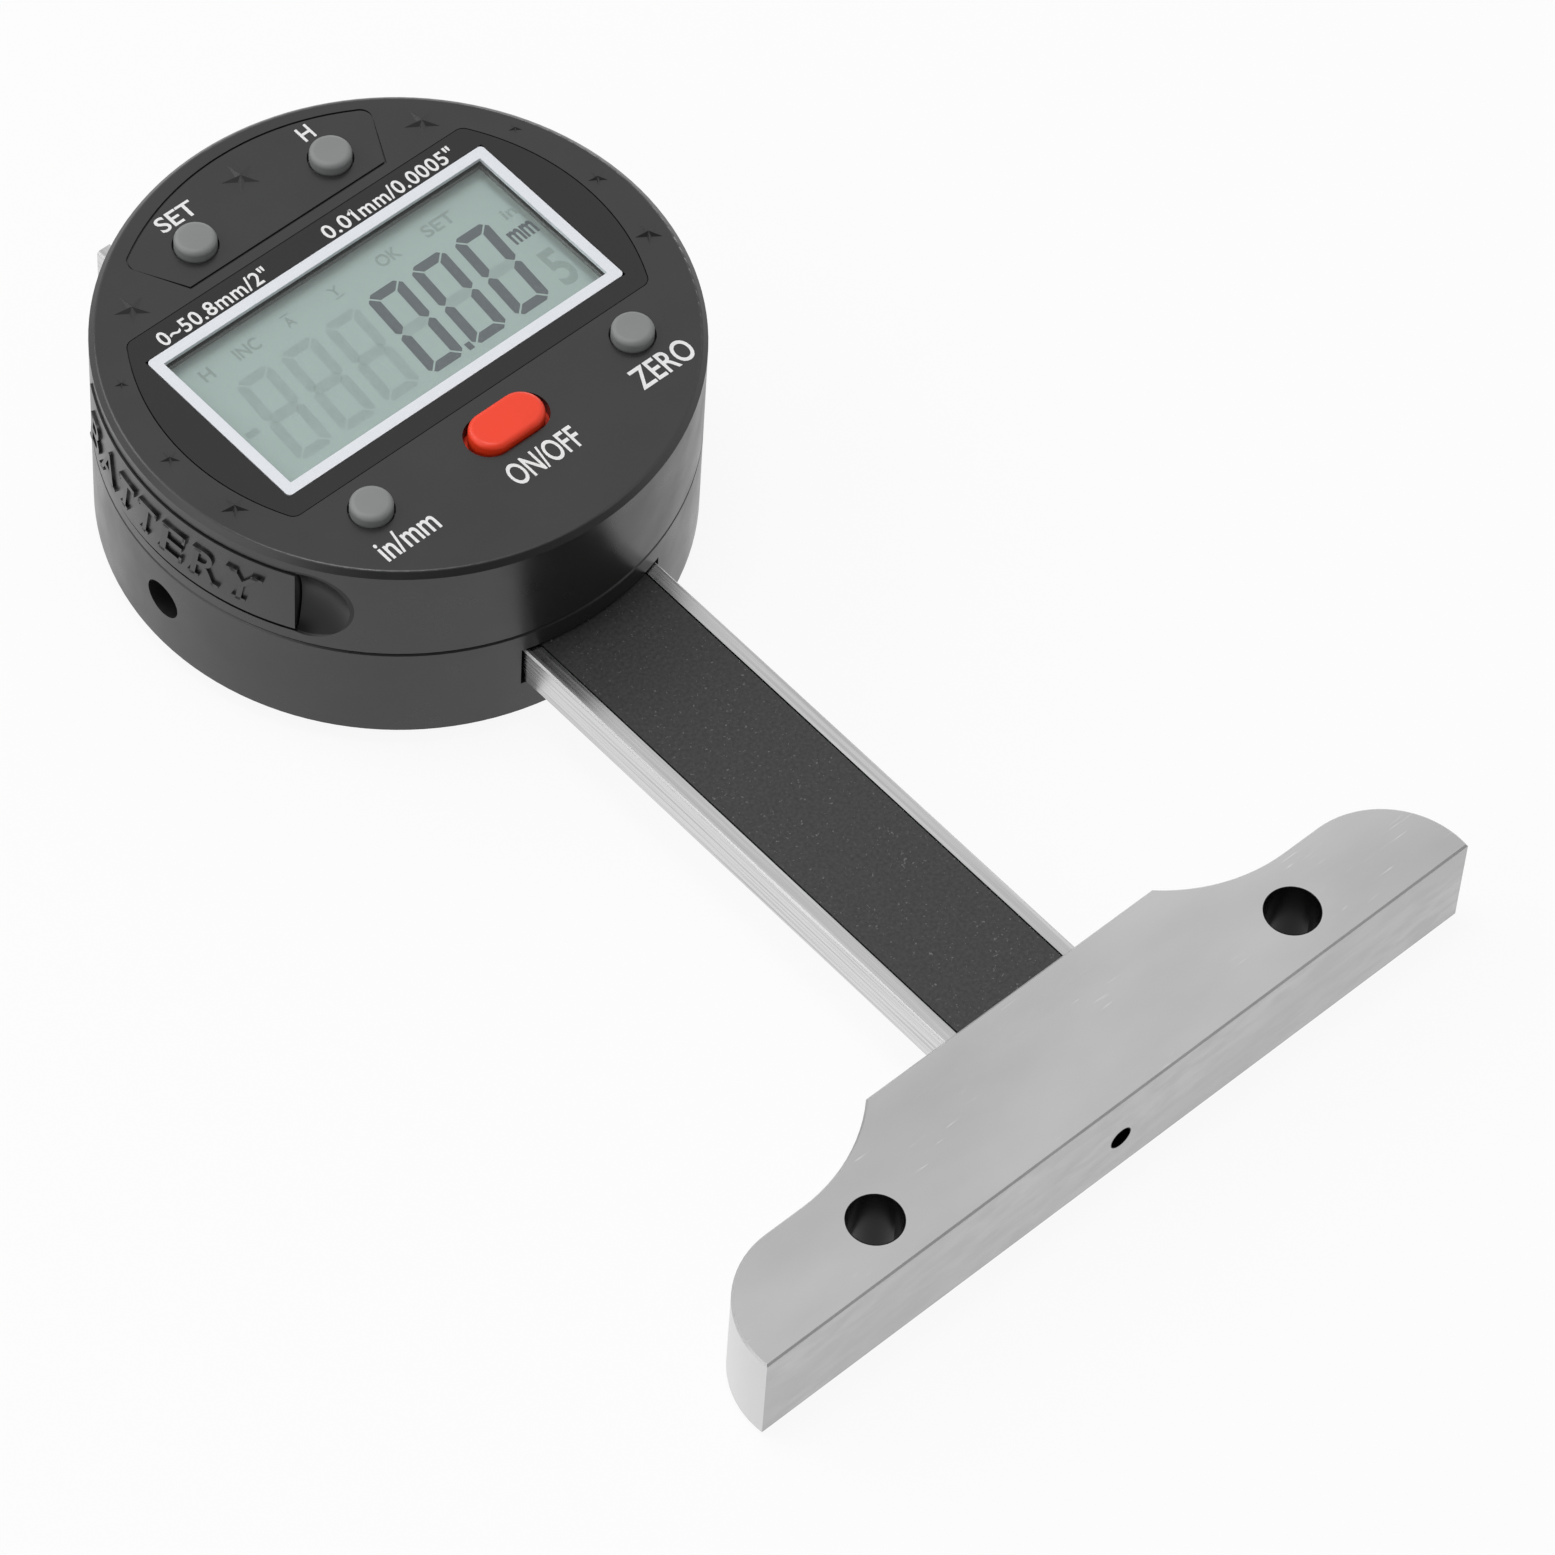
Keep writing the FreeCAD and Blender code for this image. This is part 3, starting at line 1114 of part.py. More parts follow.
def battery_door():
    door = body("battery_door", y="dim.head_y")
    section = sketch(door, "door_section", "XZ_Plane")
    rectangle(section, "-dim.door_outer", "-dim.door_inner", "dim.door_low", "dim.door_top")
    feature(door, "Revolution", section, Angle="2 * dim.door_half_angle", Midplane=True)
    for name, side in (("high", 1), ("low", -1)):
        tab = sketch(door, f"door_tab_{name}", x="-dim.tab_root_x", y=signed(side, "dim.tab_y"),
                     out="dim.door_low + dim.tab_lift")
        rectangle(tab, "0", "dim.tab_root + dim.tab_reach", "-dim.tab_width / 2", "dim.tab_width / 2")
        feature(door, "Pad", tab, Length="dim.tab_thick")
    return door


def battery_parts():
    rim_top = "(dim.cell_top - dim.cell_gap)"
    reach = "dim.holder_reach_cell"
    stock = rod_along("holder_stock", "dim.cell_pocket + dim.holder_rim", f"{rim_top} - dim.seam",
                      UP, "dim.cell_x", "dim.head_y", "dim.seam")
    well = rod_along("holder_well", "dim.cell_pocket", f"{rim_top} - dim.cell_floor",
                     UP, "dim.cell_x", "dim.head_y", "dim.cell_floor")
    mouth = head_block("holder_mouth", f"dim.cell_x - {reach}", "dim.cell_x - dim.cell_radius / 2",
                       minus(reach), reach, "dim.cell_floor", rim_top)
    leaf_way = head_block("holder_leaf_way", "dim.cell_x + dim.cell_radius / 2",
                          f"dim.cell_x + {reach}", "-dim.leaf_width", "dim.leaf_width",
                          "dim.cell_floor", rim_top)
    holder = cut("battery_holder", stock, [well, mouth, leaf_way])
    cell = rod_along("battery_cell", "dim.cell_radius", "dim.cell_thick", UP,
                     "dim.cell_x", "dim.head_y", "dim.cell_z")
    leaf = "dim.leaf_thick"
    end = "dim.leaf_end"
    half = "dim.leaf_width / 2"
    low = [head_block("minus_leaf", f"{end} - dim.leaf_length", end, minus(half), half,
                      "dim.cell_floor", f"dim.cell_floor + {leaf}"),
           head_block("minus_leg", f"{end} - {leaf}", end, minus(half), half,
                      "dim.cell_floor", "dim.board_under")]
    near, far = "dim.leaf_width", "2 * dim.leaf_width"
    above = "(dim.cell_top + dim.rest_gap)"
    high = [head_block("plus_leaf", f"{end} - dim.leaf_reach", end, near, far,
                       above, f"{above} + {leaf}"),
            head_block("plus_leg", f"{end} - {leaf}", end, near, far, above, "dim.board_under")]
    return [holder, cell, fuse("battery_contact_minus", low), fuse("battery_contact_plus", high)]


def build():
    parts = [base_block(), scale_beam()] + base_fasteners() + scale_strips() + end_stop()
    parts += [rear_housing(), back_cover(), front_cover()] + case_fasteners()
    parts += [slider_frame()] + runner_parts()
    parts += [display_panel(), window_frame()] + display_stack() + boards()
    for label, (x, y) in ROUND_KEYS.items():
        parts.append(round_key(label, x, y))
        parts.append(snap_dome(label.replace("button", "dome"), x, y))
    parts.append(power_key())
    parts.append(snap_dome("power_dome", "dim.keys_shift", "dim.power_key_y"))
    parts += [battery_door()] + battery_parts()
    return parts


def check_document():
    failed = [item.Name for item in doc.Objects if {"Invalid", "Error"} & set(item.State)]
    if failed:
        raise RuntimeError(f"these objects did not build: {', '.join(failed)}")


def check_part(part):
    shape = part.Shape
    if shape.isNull() or not shape.isValid() or not shape.Solids:
        raise RuntimeError(f"{part.Label} has no sound solid")


parts = build()
doc.recompute()
check_document()
for part in parts:
    check_part(part)
os.makedirs("parts", exist_ok=True)
for part in parts:
    part.Shape.exportStep(f"parts/{part.Label}.step")
print(f"{len(parts)} sub-parts written")
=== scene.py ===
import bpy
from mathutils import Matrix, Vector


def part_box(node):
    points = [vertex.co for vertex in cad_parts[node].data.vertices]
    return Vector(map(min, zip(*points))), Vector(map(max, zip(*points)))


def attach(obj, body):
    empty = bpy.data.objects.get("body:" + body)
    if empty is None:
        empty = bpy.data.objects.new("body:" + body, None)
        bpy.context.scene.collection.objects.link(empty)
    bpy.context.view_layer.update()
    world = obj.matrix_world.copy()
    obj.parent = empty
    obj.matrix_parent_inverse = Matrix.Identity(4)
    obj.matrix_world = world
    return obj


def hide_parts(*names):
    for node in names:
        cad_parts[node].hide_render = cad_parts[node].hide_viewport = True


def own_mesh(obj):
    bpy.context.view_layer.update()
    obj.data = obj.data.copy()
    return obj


bl_info = {
    "name": "Digital depth gauge",
    "version": (1, 0, 0),
    "blender": (4, 5, 0),
    "location": "3D View > Sidebar > Depth gauge",
    "description": "Finishes, printed words, display and studio for a digital depth gauge",
    "category": "Object",
}

import math

import bpy
from mathutils import Matrix, Vector

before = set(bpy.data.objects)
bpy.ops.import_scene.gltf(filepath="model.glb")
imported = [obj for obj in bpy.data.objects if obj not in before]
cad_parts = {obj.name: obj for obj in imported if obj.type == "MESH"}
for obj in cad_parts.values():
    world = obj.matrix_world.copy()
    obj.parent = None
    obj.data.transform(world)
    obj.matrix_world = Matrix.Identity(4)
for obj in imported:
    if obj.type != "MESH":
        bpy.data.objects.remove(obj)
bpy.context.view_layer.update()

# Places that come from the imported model, in metres
COVER_LOW, COVER_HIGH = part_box("front_cover")
HEAD_X = (COVER_LOW.x + COVER_HIGH.x) / 2
HEAD_Y = (COVER_LOW.y + COVER_HIGH.y) / 2
FACE_Z = COVER_HIGH.z
INLAY_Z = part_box("display_panel")[1].z
GLASS_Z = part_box("lcd_glass")[1].z
DOOR_RADIUS = HEAD_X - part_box("battery_door")[0].x
MM = 0.001
UPRIGHT = math.pi / 2


# Colours and sizes that a user would change

def linear(code):
    """Linear colour from an sRGB hex value."""
    parts = [int(code[i:i + 2], 16) / 255 for i in (1, 3, 5)]
    return [p / 12.92 if p <= 0.04045 else ((p + 0.055) / 1.055) ** 2.4 for p in parts]


def colour(name, code, description):
    """Property that holds a colour."""
    return bpy.props.FloatVectorProperty(
        name=name, description=description, default=linear(code), subtype="COLOR",
        size=3, min=0.0, max=1.0)


def length(name, millimetres, description):
    """Property that holds a length."""
    return bpy.props.FloatProperty(
        name=name, description=description, default=millimetres * MM, unit="LENGTH",
        min=0.0, precision=5)


class GaugeColours(bpy.types.PropertyGroup):
    """Colours of the finishes"""
    steel: colour("Steel", "#B9B9B9", "Ground stainless steel of the base and the beam")
    case: colour("Case", "#232323", "Moulded ABS of the round case and the battery door")
    inlay: colour("Inlay", "#070707", "Polished inlay round the display")
    trim: colour("Window frame", "#E4E7EC", "Satin silver paint of the window frame")
    glass: colour("Display", "#9DB0AB", "Reflective ground of the segment display")
    segment: colour("Segments", "#38444A", "Segments that are switched on")
    ghost: colour("Unlit segments", "#92A5A1", "Segments that are switched off")
    sign: colour("Unlit signs", "#889B96", "Signs and words that are switched off")
    label: colour("Scale label", "#2A2A2A", "Grained film over the scale")
    grey_key: colour("Grey keys", "#858787", "Moulded keys")
    red_key: colour("Red key", "#FC3F1C", "Moulded key that switches the gauge on and off")
    print: colour("Print", "#F2F2F2", "Screen-printed words and numbers")


class GaugeSizes(bpy.types.PropertyGroup):
    """Sizes of the stars, letters, print and display"""
    star_rise: length("Star height", 0.42, "How far a star's middle stands above the face")
    print_film: length("Print thickness", 0.02, "Thickness of the printed words")
    letter_rise: length("Door letter height", 0.26, "How far the door's letters stand out")
    segment_film: length("Segment thickness", 0.01, "Thickness of the display's segments")
    digit_pitch: length("Digit pitch", 5.54, "Distance between the display's digits")
    digit_width: length("Digit width", 4.54, "Width of one digit")
    digit_height: length("Digit height", 11.65, "Height of one digit")
    digit_stroke: length("Digit stroke", 1.32, "Width of one segment")
    digit_gap: length("Digit gap", 0.2, "Gap between two segments")
    digit_slant: bpy.props.FloatProperty(
        name="Digit slant", description="How far the digits lean", default=math.radians(5.5),
        subtype="ANGLE")


# Materials

def add_node(tree, kind, settings=(), links=()):
    """Add a node; settings fill its fields or sockets, links join its sockets to outputs."""
    made = tree.nodes.new(kind)
    for name, value in dict(settings).items():
        if isinstance(name, int) or name in made.inputs:
            made.inputs[name].default_value = value
        else:
            setattr(made, name, value)
    for name, source in dict(links).items():
        tree.links.new(source, made.inputs[name])
    return made


def finish_of(name, base, roughness, settings=()):
    """Material with one Principled shader; base is linear, settings fill its other sockets."""
    material = bpy.data.materials.new(name)
    material.use_nodes = True
    tree = material.node_tree
    shader = tree.nodes["Principled BSDF"]
    shader.inputs["Base Color"].default_value = (*base, 1.0)
    shader.inputs["Roughness"].default_value = roughness
    for socket, value in dict(settings).items():
        shader.inputs[socket].default_value = value
    material.diffuse_color = (*base, 1.0)
    return material, tree, shader


def grain(tree, size, stretch=(1, 1, 1), detail=2.0, turn=0.0):
    """Noise over the piece whose lumps measure about size millimetres, drawn out by the stretch."""
    place = add_node(tree, "ShaderNodeTexCoord")
    spread = add_node(tree, "ShaderNodeMapping",
                      {"Rotation": (0, 0, turn), "Scale": [1000 / size / part for part in stretch]},
                      {"Vector": place.outputs["Object"]})
    noise = add_node(tree, "ShaderNodeTexNoise", {"Scale": 1.0, "Detail": detail},
                     {"Vector": spread.outputs["Vector"]})
    return noise.outputs["Fac"]


def vary(tree, socket, source, low, high):
    """Let a pattern drive a socket between two values."""
    spread = add_node(tree, "ShaderNodeMapRange",
                      {"From Min": 0.3, "From Max": 0.7, "To Min": low, "To Max": high},
                      {"Value": source})
    tree.links.new(spread.outputs["Result"], socket)


def cloud(tree, shader, source, base, shade):
    """Let a pattern darken or lighten the base colour by a share."""
    dark = [part * (1 - shade) for part in base] + [1.0]
    pale = [min(part * (1 + shade), 1.0) for part in base] + [1.0]
    contrast = add_node(tree, "ShaderNodeMapRange", {"From Min": 0.3, "From Max": 0.7},
                        {"Value": source})
    mixed = add_node(tree, "ShaderNodeMix", {"data_type": "RGBA", 6: dark, 7: pale},
                     {0: contrast.outputs["Result"]})
    tree.links.new(mixed.outputs[2], shader.inputs["Base Color"])


def relief(tree, shader, source, depth, strength=1.0):
    """Raise and sink the surface by a pattern; depth is in millimetres."""
    bump = add_node(tree, "ShaderNodeBump", {"Strength": strength, "Distance": depth * MM},
                    {"Height": source})
    tree.links.new(bump.outputs["Normal"], shader.inputs["Normal"])


def lay_over(tree, shader, tone, mask):
    """Lay a tone over the base colour so far where a mask is 1."""
    below = shader.inputs["Base Color"].links[0].from_socket
    mixed = add_node(tree, "ShaderNodeMix", {"data_type": "RGBA", 7: (*tone, 1.0)},
                     {0: mask, 6: below})
    tree.links.new(mixed.outputs[2], shader.inputs["Base Color"])


def where(tree, *rises):
    """Mask of the places where all patterns are high. Each one is a pattern and the two levels
    between which it takes the mask from 0 to 1."""
    mask = None
    for pattern, low, high in rises:
        rise = add_node(tree, "ShaderNodeMapRange", {"From Min": low, "From Max": high},
                        {"Value": pattern}).outputs["Result"]
        mask = rise if mask is None else add_node(
            tree, "ShaderNodeMath", {"operation": "MULTIPLY"}, {0: mask, 1: rise}).outputs[0]
    return mask


def facing(tree, axis):
    """How far the surface faces one axis, either way, from 0 to 1."""
    normal = add_node(tree, "ShaderNodeNewGeometry")
    mirrored = add_node(tree, "ShaderNodeVectorMath", {"operation": "ABSOLUTE"},
                        {0: normal.outputs["True Normal"]})
    return add_node(tree, "ShaderNodeSeparateXYZ", {}, {0: mirrored.outputs[0]}).outputs[axis]


def on_edge(tree):
    """Mask of the narrow edges that are broken at 45 degrees to the top."""
    upward = facing(tree, 2)
    return where(tree, (upward, 0.3, 0.5), (upward, 0.95, 0.85))


def inside_bore(tree, axis, spot, radius):
    """Mask of a hole along an axis and its mirror image; place and radius are in millimetres."""
    place = add_node(tree, "ShaderNodeTexCoord")
    mirrored = add_node(tree, "ShaderNodeVectorMath", {"operation": "ABSOLUTE"},
                        {0: place.outputs["Object"]})
    keep = [0.0 if part == axis else 1.0 for part in range(3)]
    flat = add_node(tree, "ShaderNodeVectorMath", {"operation": "MULTIPLY", 1: keep},
                    {0: mirrored.outputs[0]})
    away = add_node(tree, "ShaderNodeVectorMath",
                    {"operation": "DISTANCE", 1: [part * MM for part in spot]},
                    {0: flat.outputs[0]})
    return add_node(tree, "ShaderNodeMath", {"operation": "LESS_THAN", 1: radius * MM},
                    {0: away.outputs["Value"]}).outputs[0]


def tinted(base, share):
    """Base colour made lighter or darker by a share."""
    return [min(part * share, 1.0) for part in base]


def ground_steel(name, base, bores):
    """Stainless steel, ground and then lapped: a soft satin with faint cloudy patches and sparse
    light scratches on top, darker smears on the front and back, and ends made brighter by a
    painted highlight; the wheel's lines are 0.02 mm apart and are drawn at 0.12 mm to show. Its
    finest scratches scatter light all round, so it is a little less than all metal, and its
    broken edges much less. The insides of the holes are painted near-black as painted shade."""
    material, tree, shader = finish_of(name, base, 0.22, {"Metallic": 0.84})
    vary(tree, shader.inputs["Roughness"], grain(tree, 25.0, detail=5.0), 0.18, 0.27)
    vary(tree, shader.inputs["Metallic"], on_edge(tree), 0.84, 0.2)
    cloud(tree, shader, grain(tree, 14.0, (2.5, 1, 1), 6.0, 0.5), base, 0.11)
    scratches = where(tree, (grain(tree, 0.25, (14, 1, 1), 3.0, -0.25), 0.64, 0.74),
                      (grain(tree, 9.0), 0.54, 0.62), (facing(tree, 2), 0.0, 1.0))
    lay_over(tree, shader, tinted(base, 1.3), scratches)
    smears = where(tree, (grain(tree, 1.6, (3, 1, 1), 6.0), 0.4, 0.62),
                   (facing(tree, 1), 0.5, 0.9))
    lay_over(tree, shader, tinted(base, 0.89), smears)
    # Painted highlight: the faces that look along x, the base's ends, are made brighter.
    lay_over(tree, shader, tinted(base, 1.36), where(tree, (facing(tree, 0), 0.6, 0.95)))
    relief(tree, shader, grain(tree, 0.12, (60, 1, 1), 3.0), 0.002, 0.25)
    # Painted shade: the insides of the holes are painted near-black.
    for bore in bores:
        lay_over(tree, shader, linear("#060606"), inside_bore(tree, *bore))
    return material


def brushed_steel(name, base):
    """Stainless beam, drawn through a brush along its length: bright and dark streaks, with the
    bright streaks made brighter still on the sides as a painted highlight, and broken edges that
    scatter light."""
    material, tree, shader = finish_of(name, base, 0.26, {"Metallic": 1.0})
    streaks = grain(tree, 0.35, (1, 90, 1), 4.0)
    cloud(tree, shader, streaks, base, 0.12)
    # Painted highlight: bright streaks are lightened more where the surface faces the sides.
    lay_over(tree, shader, tinted(base, 1.45),
             where(tree, (streaks, 0.3, 0.55), (facing(tree, 0), 0.0, 1.0)))
    vary(tree, shader.inputs["Roughness"], streaks, 0.18, 0.34)
    vary(tree, shader.inputs["Metallic"], on_edge(tree), 1.0, 0.3)
    relief(tree, shader, grain(tree, 0.12, (1, 80, 1)), 0.003, 0.3)
    return material


def moulded_abs(name, base, roughness, pores=0.35, depth=0.004):
    """ABS from a spark-eroded mould: an even dark satin with a very fine orange-peel texture."""
    material, tree, shader = finish_of(name, base, roughness, {"IOR": 1.52})
    vary(tree, shader.inputs["Roughness"], grain(tree, 5.0, detail=3.0),
         roughness - 0.04, roughness + 0.05)
    cloud(tree, shader, grain(tree, 7.0, detail=4.0), base, 0.05)
    relief(tree, shader, grain(tree, pores), depth, 0.5)
    return material


def polished_inlay(name, base):
    """Black polished acrylic: smooth, so it shows the room as a soft sheen."""
    material, tree, shader = finish_of(name, base, 0.2, {"IOR": 1.49})
    vary(tree, shader.inputs["Roughness"], grain(tree, 4.0, detail=3.0), 0.16, 0.24)
    cloud(tree, shader, grain(tree, 12.0), base, 0.03)
    return material


def silver_paint(name, base):
    """Silver paint with fine metal flakes: a pale satin with a slight sparkle."""
    material, tree, shader = finish_of(name, base, 0.4, {"Metallic": 0.25})
    flakes = grain(tree, 0.12, detail=1.0)
    cloud(tree, shader, flakes, base, 0.05)
    vary(tree, shader.inputs["Roughness"], flakes, 0.32, 0.48)
    relief(tree, shader, flakes, 0.002, 0.4)
    return material


def grained_film(name, base):
    """Polyester film with a sanded grain: dark grey, uneven at 0.35 mm, with sparse pale specks;
    the real grains are 0.05 mm and are drawn larger to show."""
    material, tree, shader = finish_of(name, base, 0.6, {"IOR": 1.5})
    lumps = grain(tree, 0.35, detail=3.0)
    cloud(tree, shader, lumps, base, 0.5)
    specks = where(tree, (grain(tree, 0.3, detail=3.0), 0.66, 0.72))
    lay_over(tree, shader, tinted(base, 6.0), specks)
    relief(tree, shader, lumps, 0.02, 0.6)
    return material


def display_ground(name, base):
    """Reflective liquid-crystal cell: grey-green polariser over a satin mirror film."""
    material, tree, shader = finish_of(name, base, 0.3, {"Metallic": 0.6})
    cloud(tree, shader, grain(tree, 6.0), base, 0.012)
    return material


def crystal_film(name, base):
    """Segment of a liquid-crystal cell: flat and matt, a little uneven in depth of tone."""
    material, tree, shader = finish_of(name, base, 0.5, {"IOR": 1.5})
    cloud(tree, shader, grain(tree, 1.5), base, 0.04)
    return material


def clear_acrylic(name):
    """Clear acrylic window: all but unseen, with a faint gloss."""
    material, tree, shader = finish_of(name, linear("#F4F8F6"), 0.05, {"IOR": 1.49, "Alpha": 0.06})
    vary(tree, shader.inputs["Roughness"], grain(tree, 8.0), 0.03, 0.08)
    return material


def screen_print(name, base):
    """Screen-printed ink: flat white with a slight unevenness at its edges."""
    material, tree, shader = finish_of(name, base, 0.5, {"IOR": 1.5})
    cloud(tree, shader, grain(tree, 0.3), base, 0.03)
    return material


def plated_steel(name, code, roughness):
    """Zinc or nickel plate: bright, with faint blotches."""
    base = linear(code)
    material, tree, shader = finish_of(name, base, roughness, {"Metallic": 1.0})
    vary(tree, shader.inputs["Roughness"], grain(tree, 0.8, detail=3.0),
         roughness - 0.06, roughness + 0.08)
    cloud(tree, shader, grain(tree, 1.2), base, 0.06)
    return material


def glass_fibre_board(name):
    """Solder-masked circuit board: green lacquer over a woven cloth that shows as fine ripples."""
    base = linear("#1E5B3A")
    material, tree, shader = finish_of(name, base, 0.35, {"IOR": 1.5})
    cloud(tree, shader, grain(tree, 0.9, (3, 1, 1)), base, 0.18)
    relief(tree, shader, grain(tree, 0.4, (1, 2, 1)), 0.01, 0.5)
    return material


# Meshes

def clear_selection():
    """Deselect everything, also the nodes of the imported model."""
    bpy.ops.object.select_all(action="DESELECT")


def select_only(*pieces):
    """Select some pieces and make the first one active."""
    clear_selection()
    for piece in pieces:
        piece.select_set(True)
    bpy.context.view_layer.objects.active = pieces[0]


def pick(piece, test, kind="FACE"):
    """Select the vertices or faces whose middle passes the test and stay in edit mode."""
    bpy.ops.object.mode_set(mode="EDIT")
    bpy.ops.mesh.select_mode(type=kind)
    bpy.ops.mesh.select_all(action="DESELECT")
    bpy.ops.object.mode_set(mode="OBJECT")
    for item in piece.data.polygons if kind == "FACE" else piece.data.vertices:
        item.select = bool(test(item.center if kind == "FACE" else item.co))
    bpy.ops.object.mode_set(mode="EDIT")


def name_piece(piece, name, material, body="head"):
    """Name a finished piece, give it its material and let it ride on a body."""
    piece.name = name
    piece.data.name = name
    piece.data.materials.clear()
    piece.data.materials.append(material)
    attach(piece, body)
    return piece


def settle(piece):
    """Move the place, turn and scale of a piece into its mesh."""
    select_only(piece)
    bpy.ops.object.transform_apply(location=True, rotation=True, scale=True)


def copy_of(piece):
    """Copy of a piece with its own mesh."""
    select_only(piece)
    bpy.ops.object.duplicate(linked=False)
    return bpy.context.object


def join(pieces):
    """Make one piece of several."""
    select_only(*pieces)
    bpy.ops.object.join()
    return bpy.context.object


def extent(piece):
    """Lowest and highest corners of a mesh."""
    corners = [vertex.co for vertex in piece.data.vertices]
    return (Vector([min(c[i] for c in corners) for i in range(3)]),
            Vector([max(c[i] for c in corners) for i in range(3)]))


def letters(words, thickness, weight=0.0, spacing=1.0):
    """Mesh of words in the built-in font at a size of one metre, its base line at y = 0."""
    clear_selection()
    bpy.ops.object.text_add(location=(0, 0, 0))
    text = bpy.context.object
    text.data.body = words
    text.data.extrude = thickness / 2
    text.data.offset = weight
    text.data.space_character = spacing
    text.data.resolution_u = 5
    bpy.ops.object.convert(target="MESH")
    return bpy.context.object


def slab(x, y, z, width, height, thickness, turn=0.0):
    """Flat bar about a place; x, y, width and height are in millimetres."""
    clear_selection()
    bpy.ops.mesh.primitive_cube_add(size=1, location=(x * MM, y * MM, z), rotation=(0, 0, turn))
    bar = bpy.context.object
    bar.scale = (width * MM, height * MM, thickness)
    settle(bar)
    return bar


def capital_height():
    """Height of a capital letter in the built-in font at a size of one metre."""
    sample = letters("H", 0.0)
    height = extent(sample)[1].y
    bpy.data.objects.remove(sample)
    return height


def printed_words(words, left, right, base, capital, z, thickness, weight=0.0, spacing=1.0):
    """Words that fill a width on a face; places are in millimetres from the head's axis."""
    piece = letters(words, thickness, weight, spacing)
    low, high = extent(piece)
    wide = (right - left) * MM / (high.x - low.x)
    tall = capital * MM / capital_height()
    piece.data.transform(
        Matrix.Translation((HEAD_X + left * MM, HEAD_Y + base * MM, z + thickness / 2))
        @ Matrix.Diagonal((wide, tall, 1, 1)) @ Matrix.Translation((-low.x, 0, 0)))
    return piece


def give(material, *nodes):
    """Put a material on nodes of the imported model."""
    for node in nodes:
        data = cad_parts[node].data
        data.materials.clear()
        data.materials.append(material)


# Operators, one for each group of pieces

class GAUGE_OT_steel(bpy.types.Operator):
    """Finish the ground base, the brushed beam and the stop under its far end"""
    bl_idname = "gauge.steel"
    bl_label = "Steel base and beam"

    # axis, place and radius of the holes in the base, in millimetres
    BORES = ((2, (26.8, 5.35, 0), 2.85), (1, (0, 0, 5.1), 1.3))

    def execute(self, context):
        colours = context.scene.gauge_colours
        give(ground_steel("ground_stainless_steel", colours.steel, self.BORES), "base_block",
             "end_stop")
        give(brushed_steel("brushed_stainless_steel", colours.steel), "scale_beam")
        give(plated_steel("hardened_steel_pin", "#A9ABAE", 0.3), "base_dowels", "depth_rod")
        give(plated_steel("zinc_plated_screw", "#C3C6C9", 0.32), "base_screws", "end_stop_screws",
             "back_cover_screws", "case_screws", "slider_screws", "gib_screws", "rod_set_screw",
             "board_screws")
        return {"FINISHED"}


class GAUGE_OT_scale(bpy.types.Operator):
    """Finish the grained label on the beam"""
    bl_idname = "gauge.scale"
    bl_label = "Scale label"

    def execute(self, context):
        give(grained_film("grained_polyester_film", context.scene.gauge_colours.label),
             "scale_label")
        return {"FINISHED"}


class GAUGE_OT_case(bpy.types.Operator):
    """Finish the moulded case, its covers and the battery door"""
    bl_idname = "gauge.case"
    bl_label = "Round case"

    # middle of the nail notch and its radius, in millimetres
    NOTCH = (-25.32, 88.23, 20.43)
    NOTCH_RADIUS = 4.72

    def cover_plastic(self, base):
        """The case's ABS, with painted shade in the nail notch: darker and less glossy there, where
        little light falls.
        """
        material = moulded_abs("moulded_black_abs_with_painted_notch_shade", base, 0.3)
        tree = material.node_tree
        shader = tree.nodes["Principled BSDF"]
        place = add_node(tree, "ShaderNodeTexCoord")
        away = add_node(tree, "ShaderNodeVectorMath",
                        {"operation": "DISTANCE", 1: [part * MM for part in self.NOTCH]},
                        {0: place.outputs["Object"]})
        notch = add_node(tree, "ShaderNodeMath",
                         {"operation": "LESS_THAN", 1: self.NOTCH_RADIUS * MM},
                         {0: away.outputs["Value"]})
        # Painted shade: the notch is painted near-black and its gloss is turned down.
        lay_over(tree, shader, linear("#0C0C0C"), notch.outputs["Value"])
        vary(tree, shader.inputs["Specular IOR Level"], notch.outputs["Value"], 0.5, 0.28)
        return material

    def execute(self, context):
        case = context.scene.gauge_colours.case
        give(moulded_abs("moulded_black_abs", case, 0.3), "rear_housing", "back_cover",
             "battery_door")
        give(self.cover_plastic(case), "front_cover")
        return {"FINISHED"}


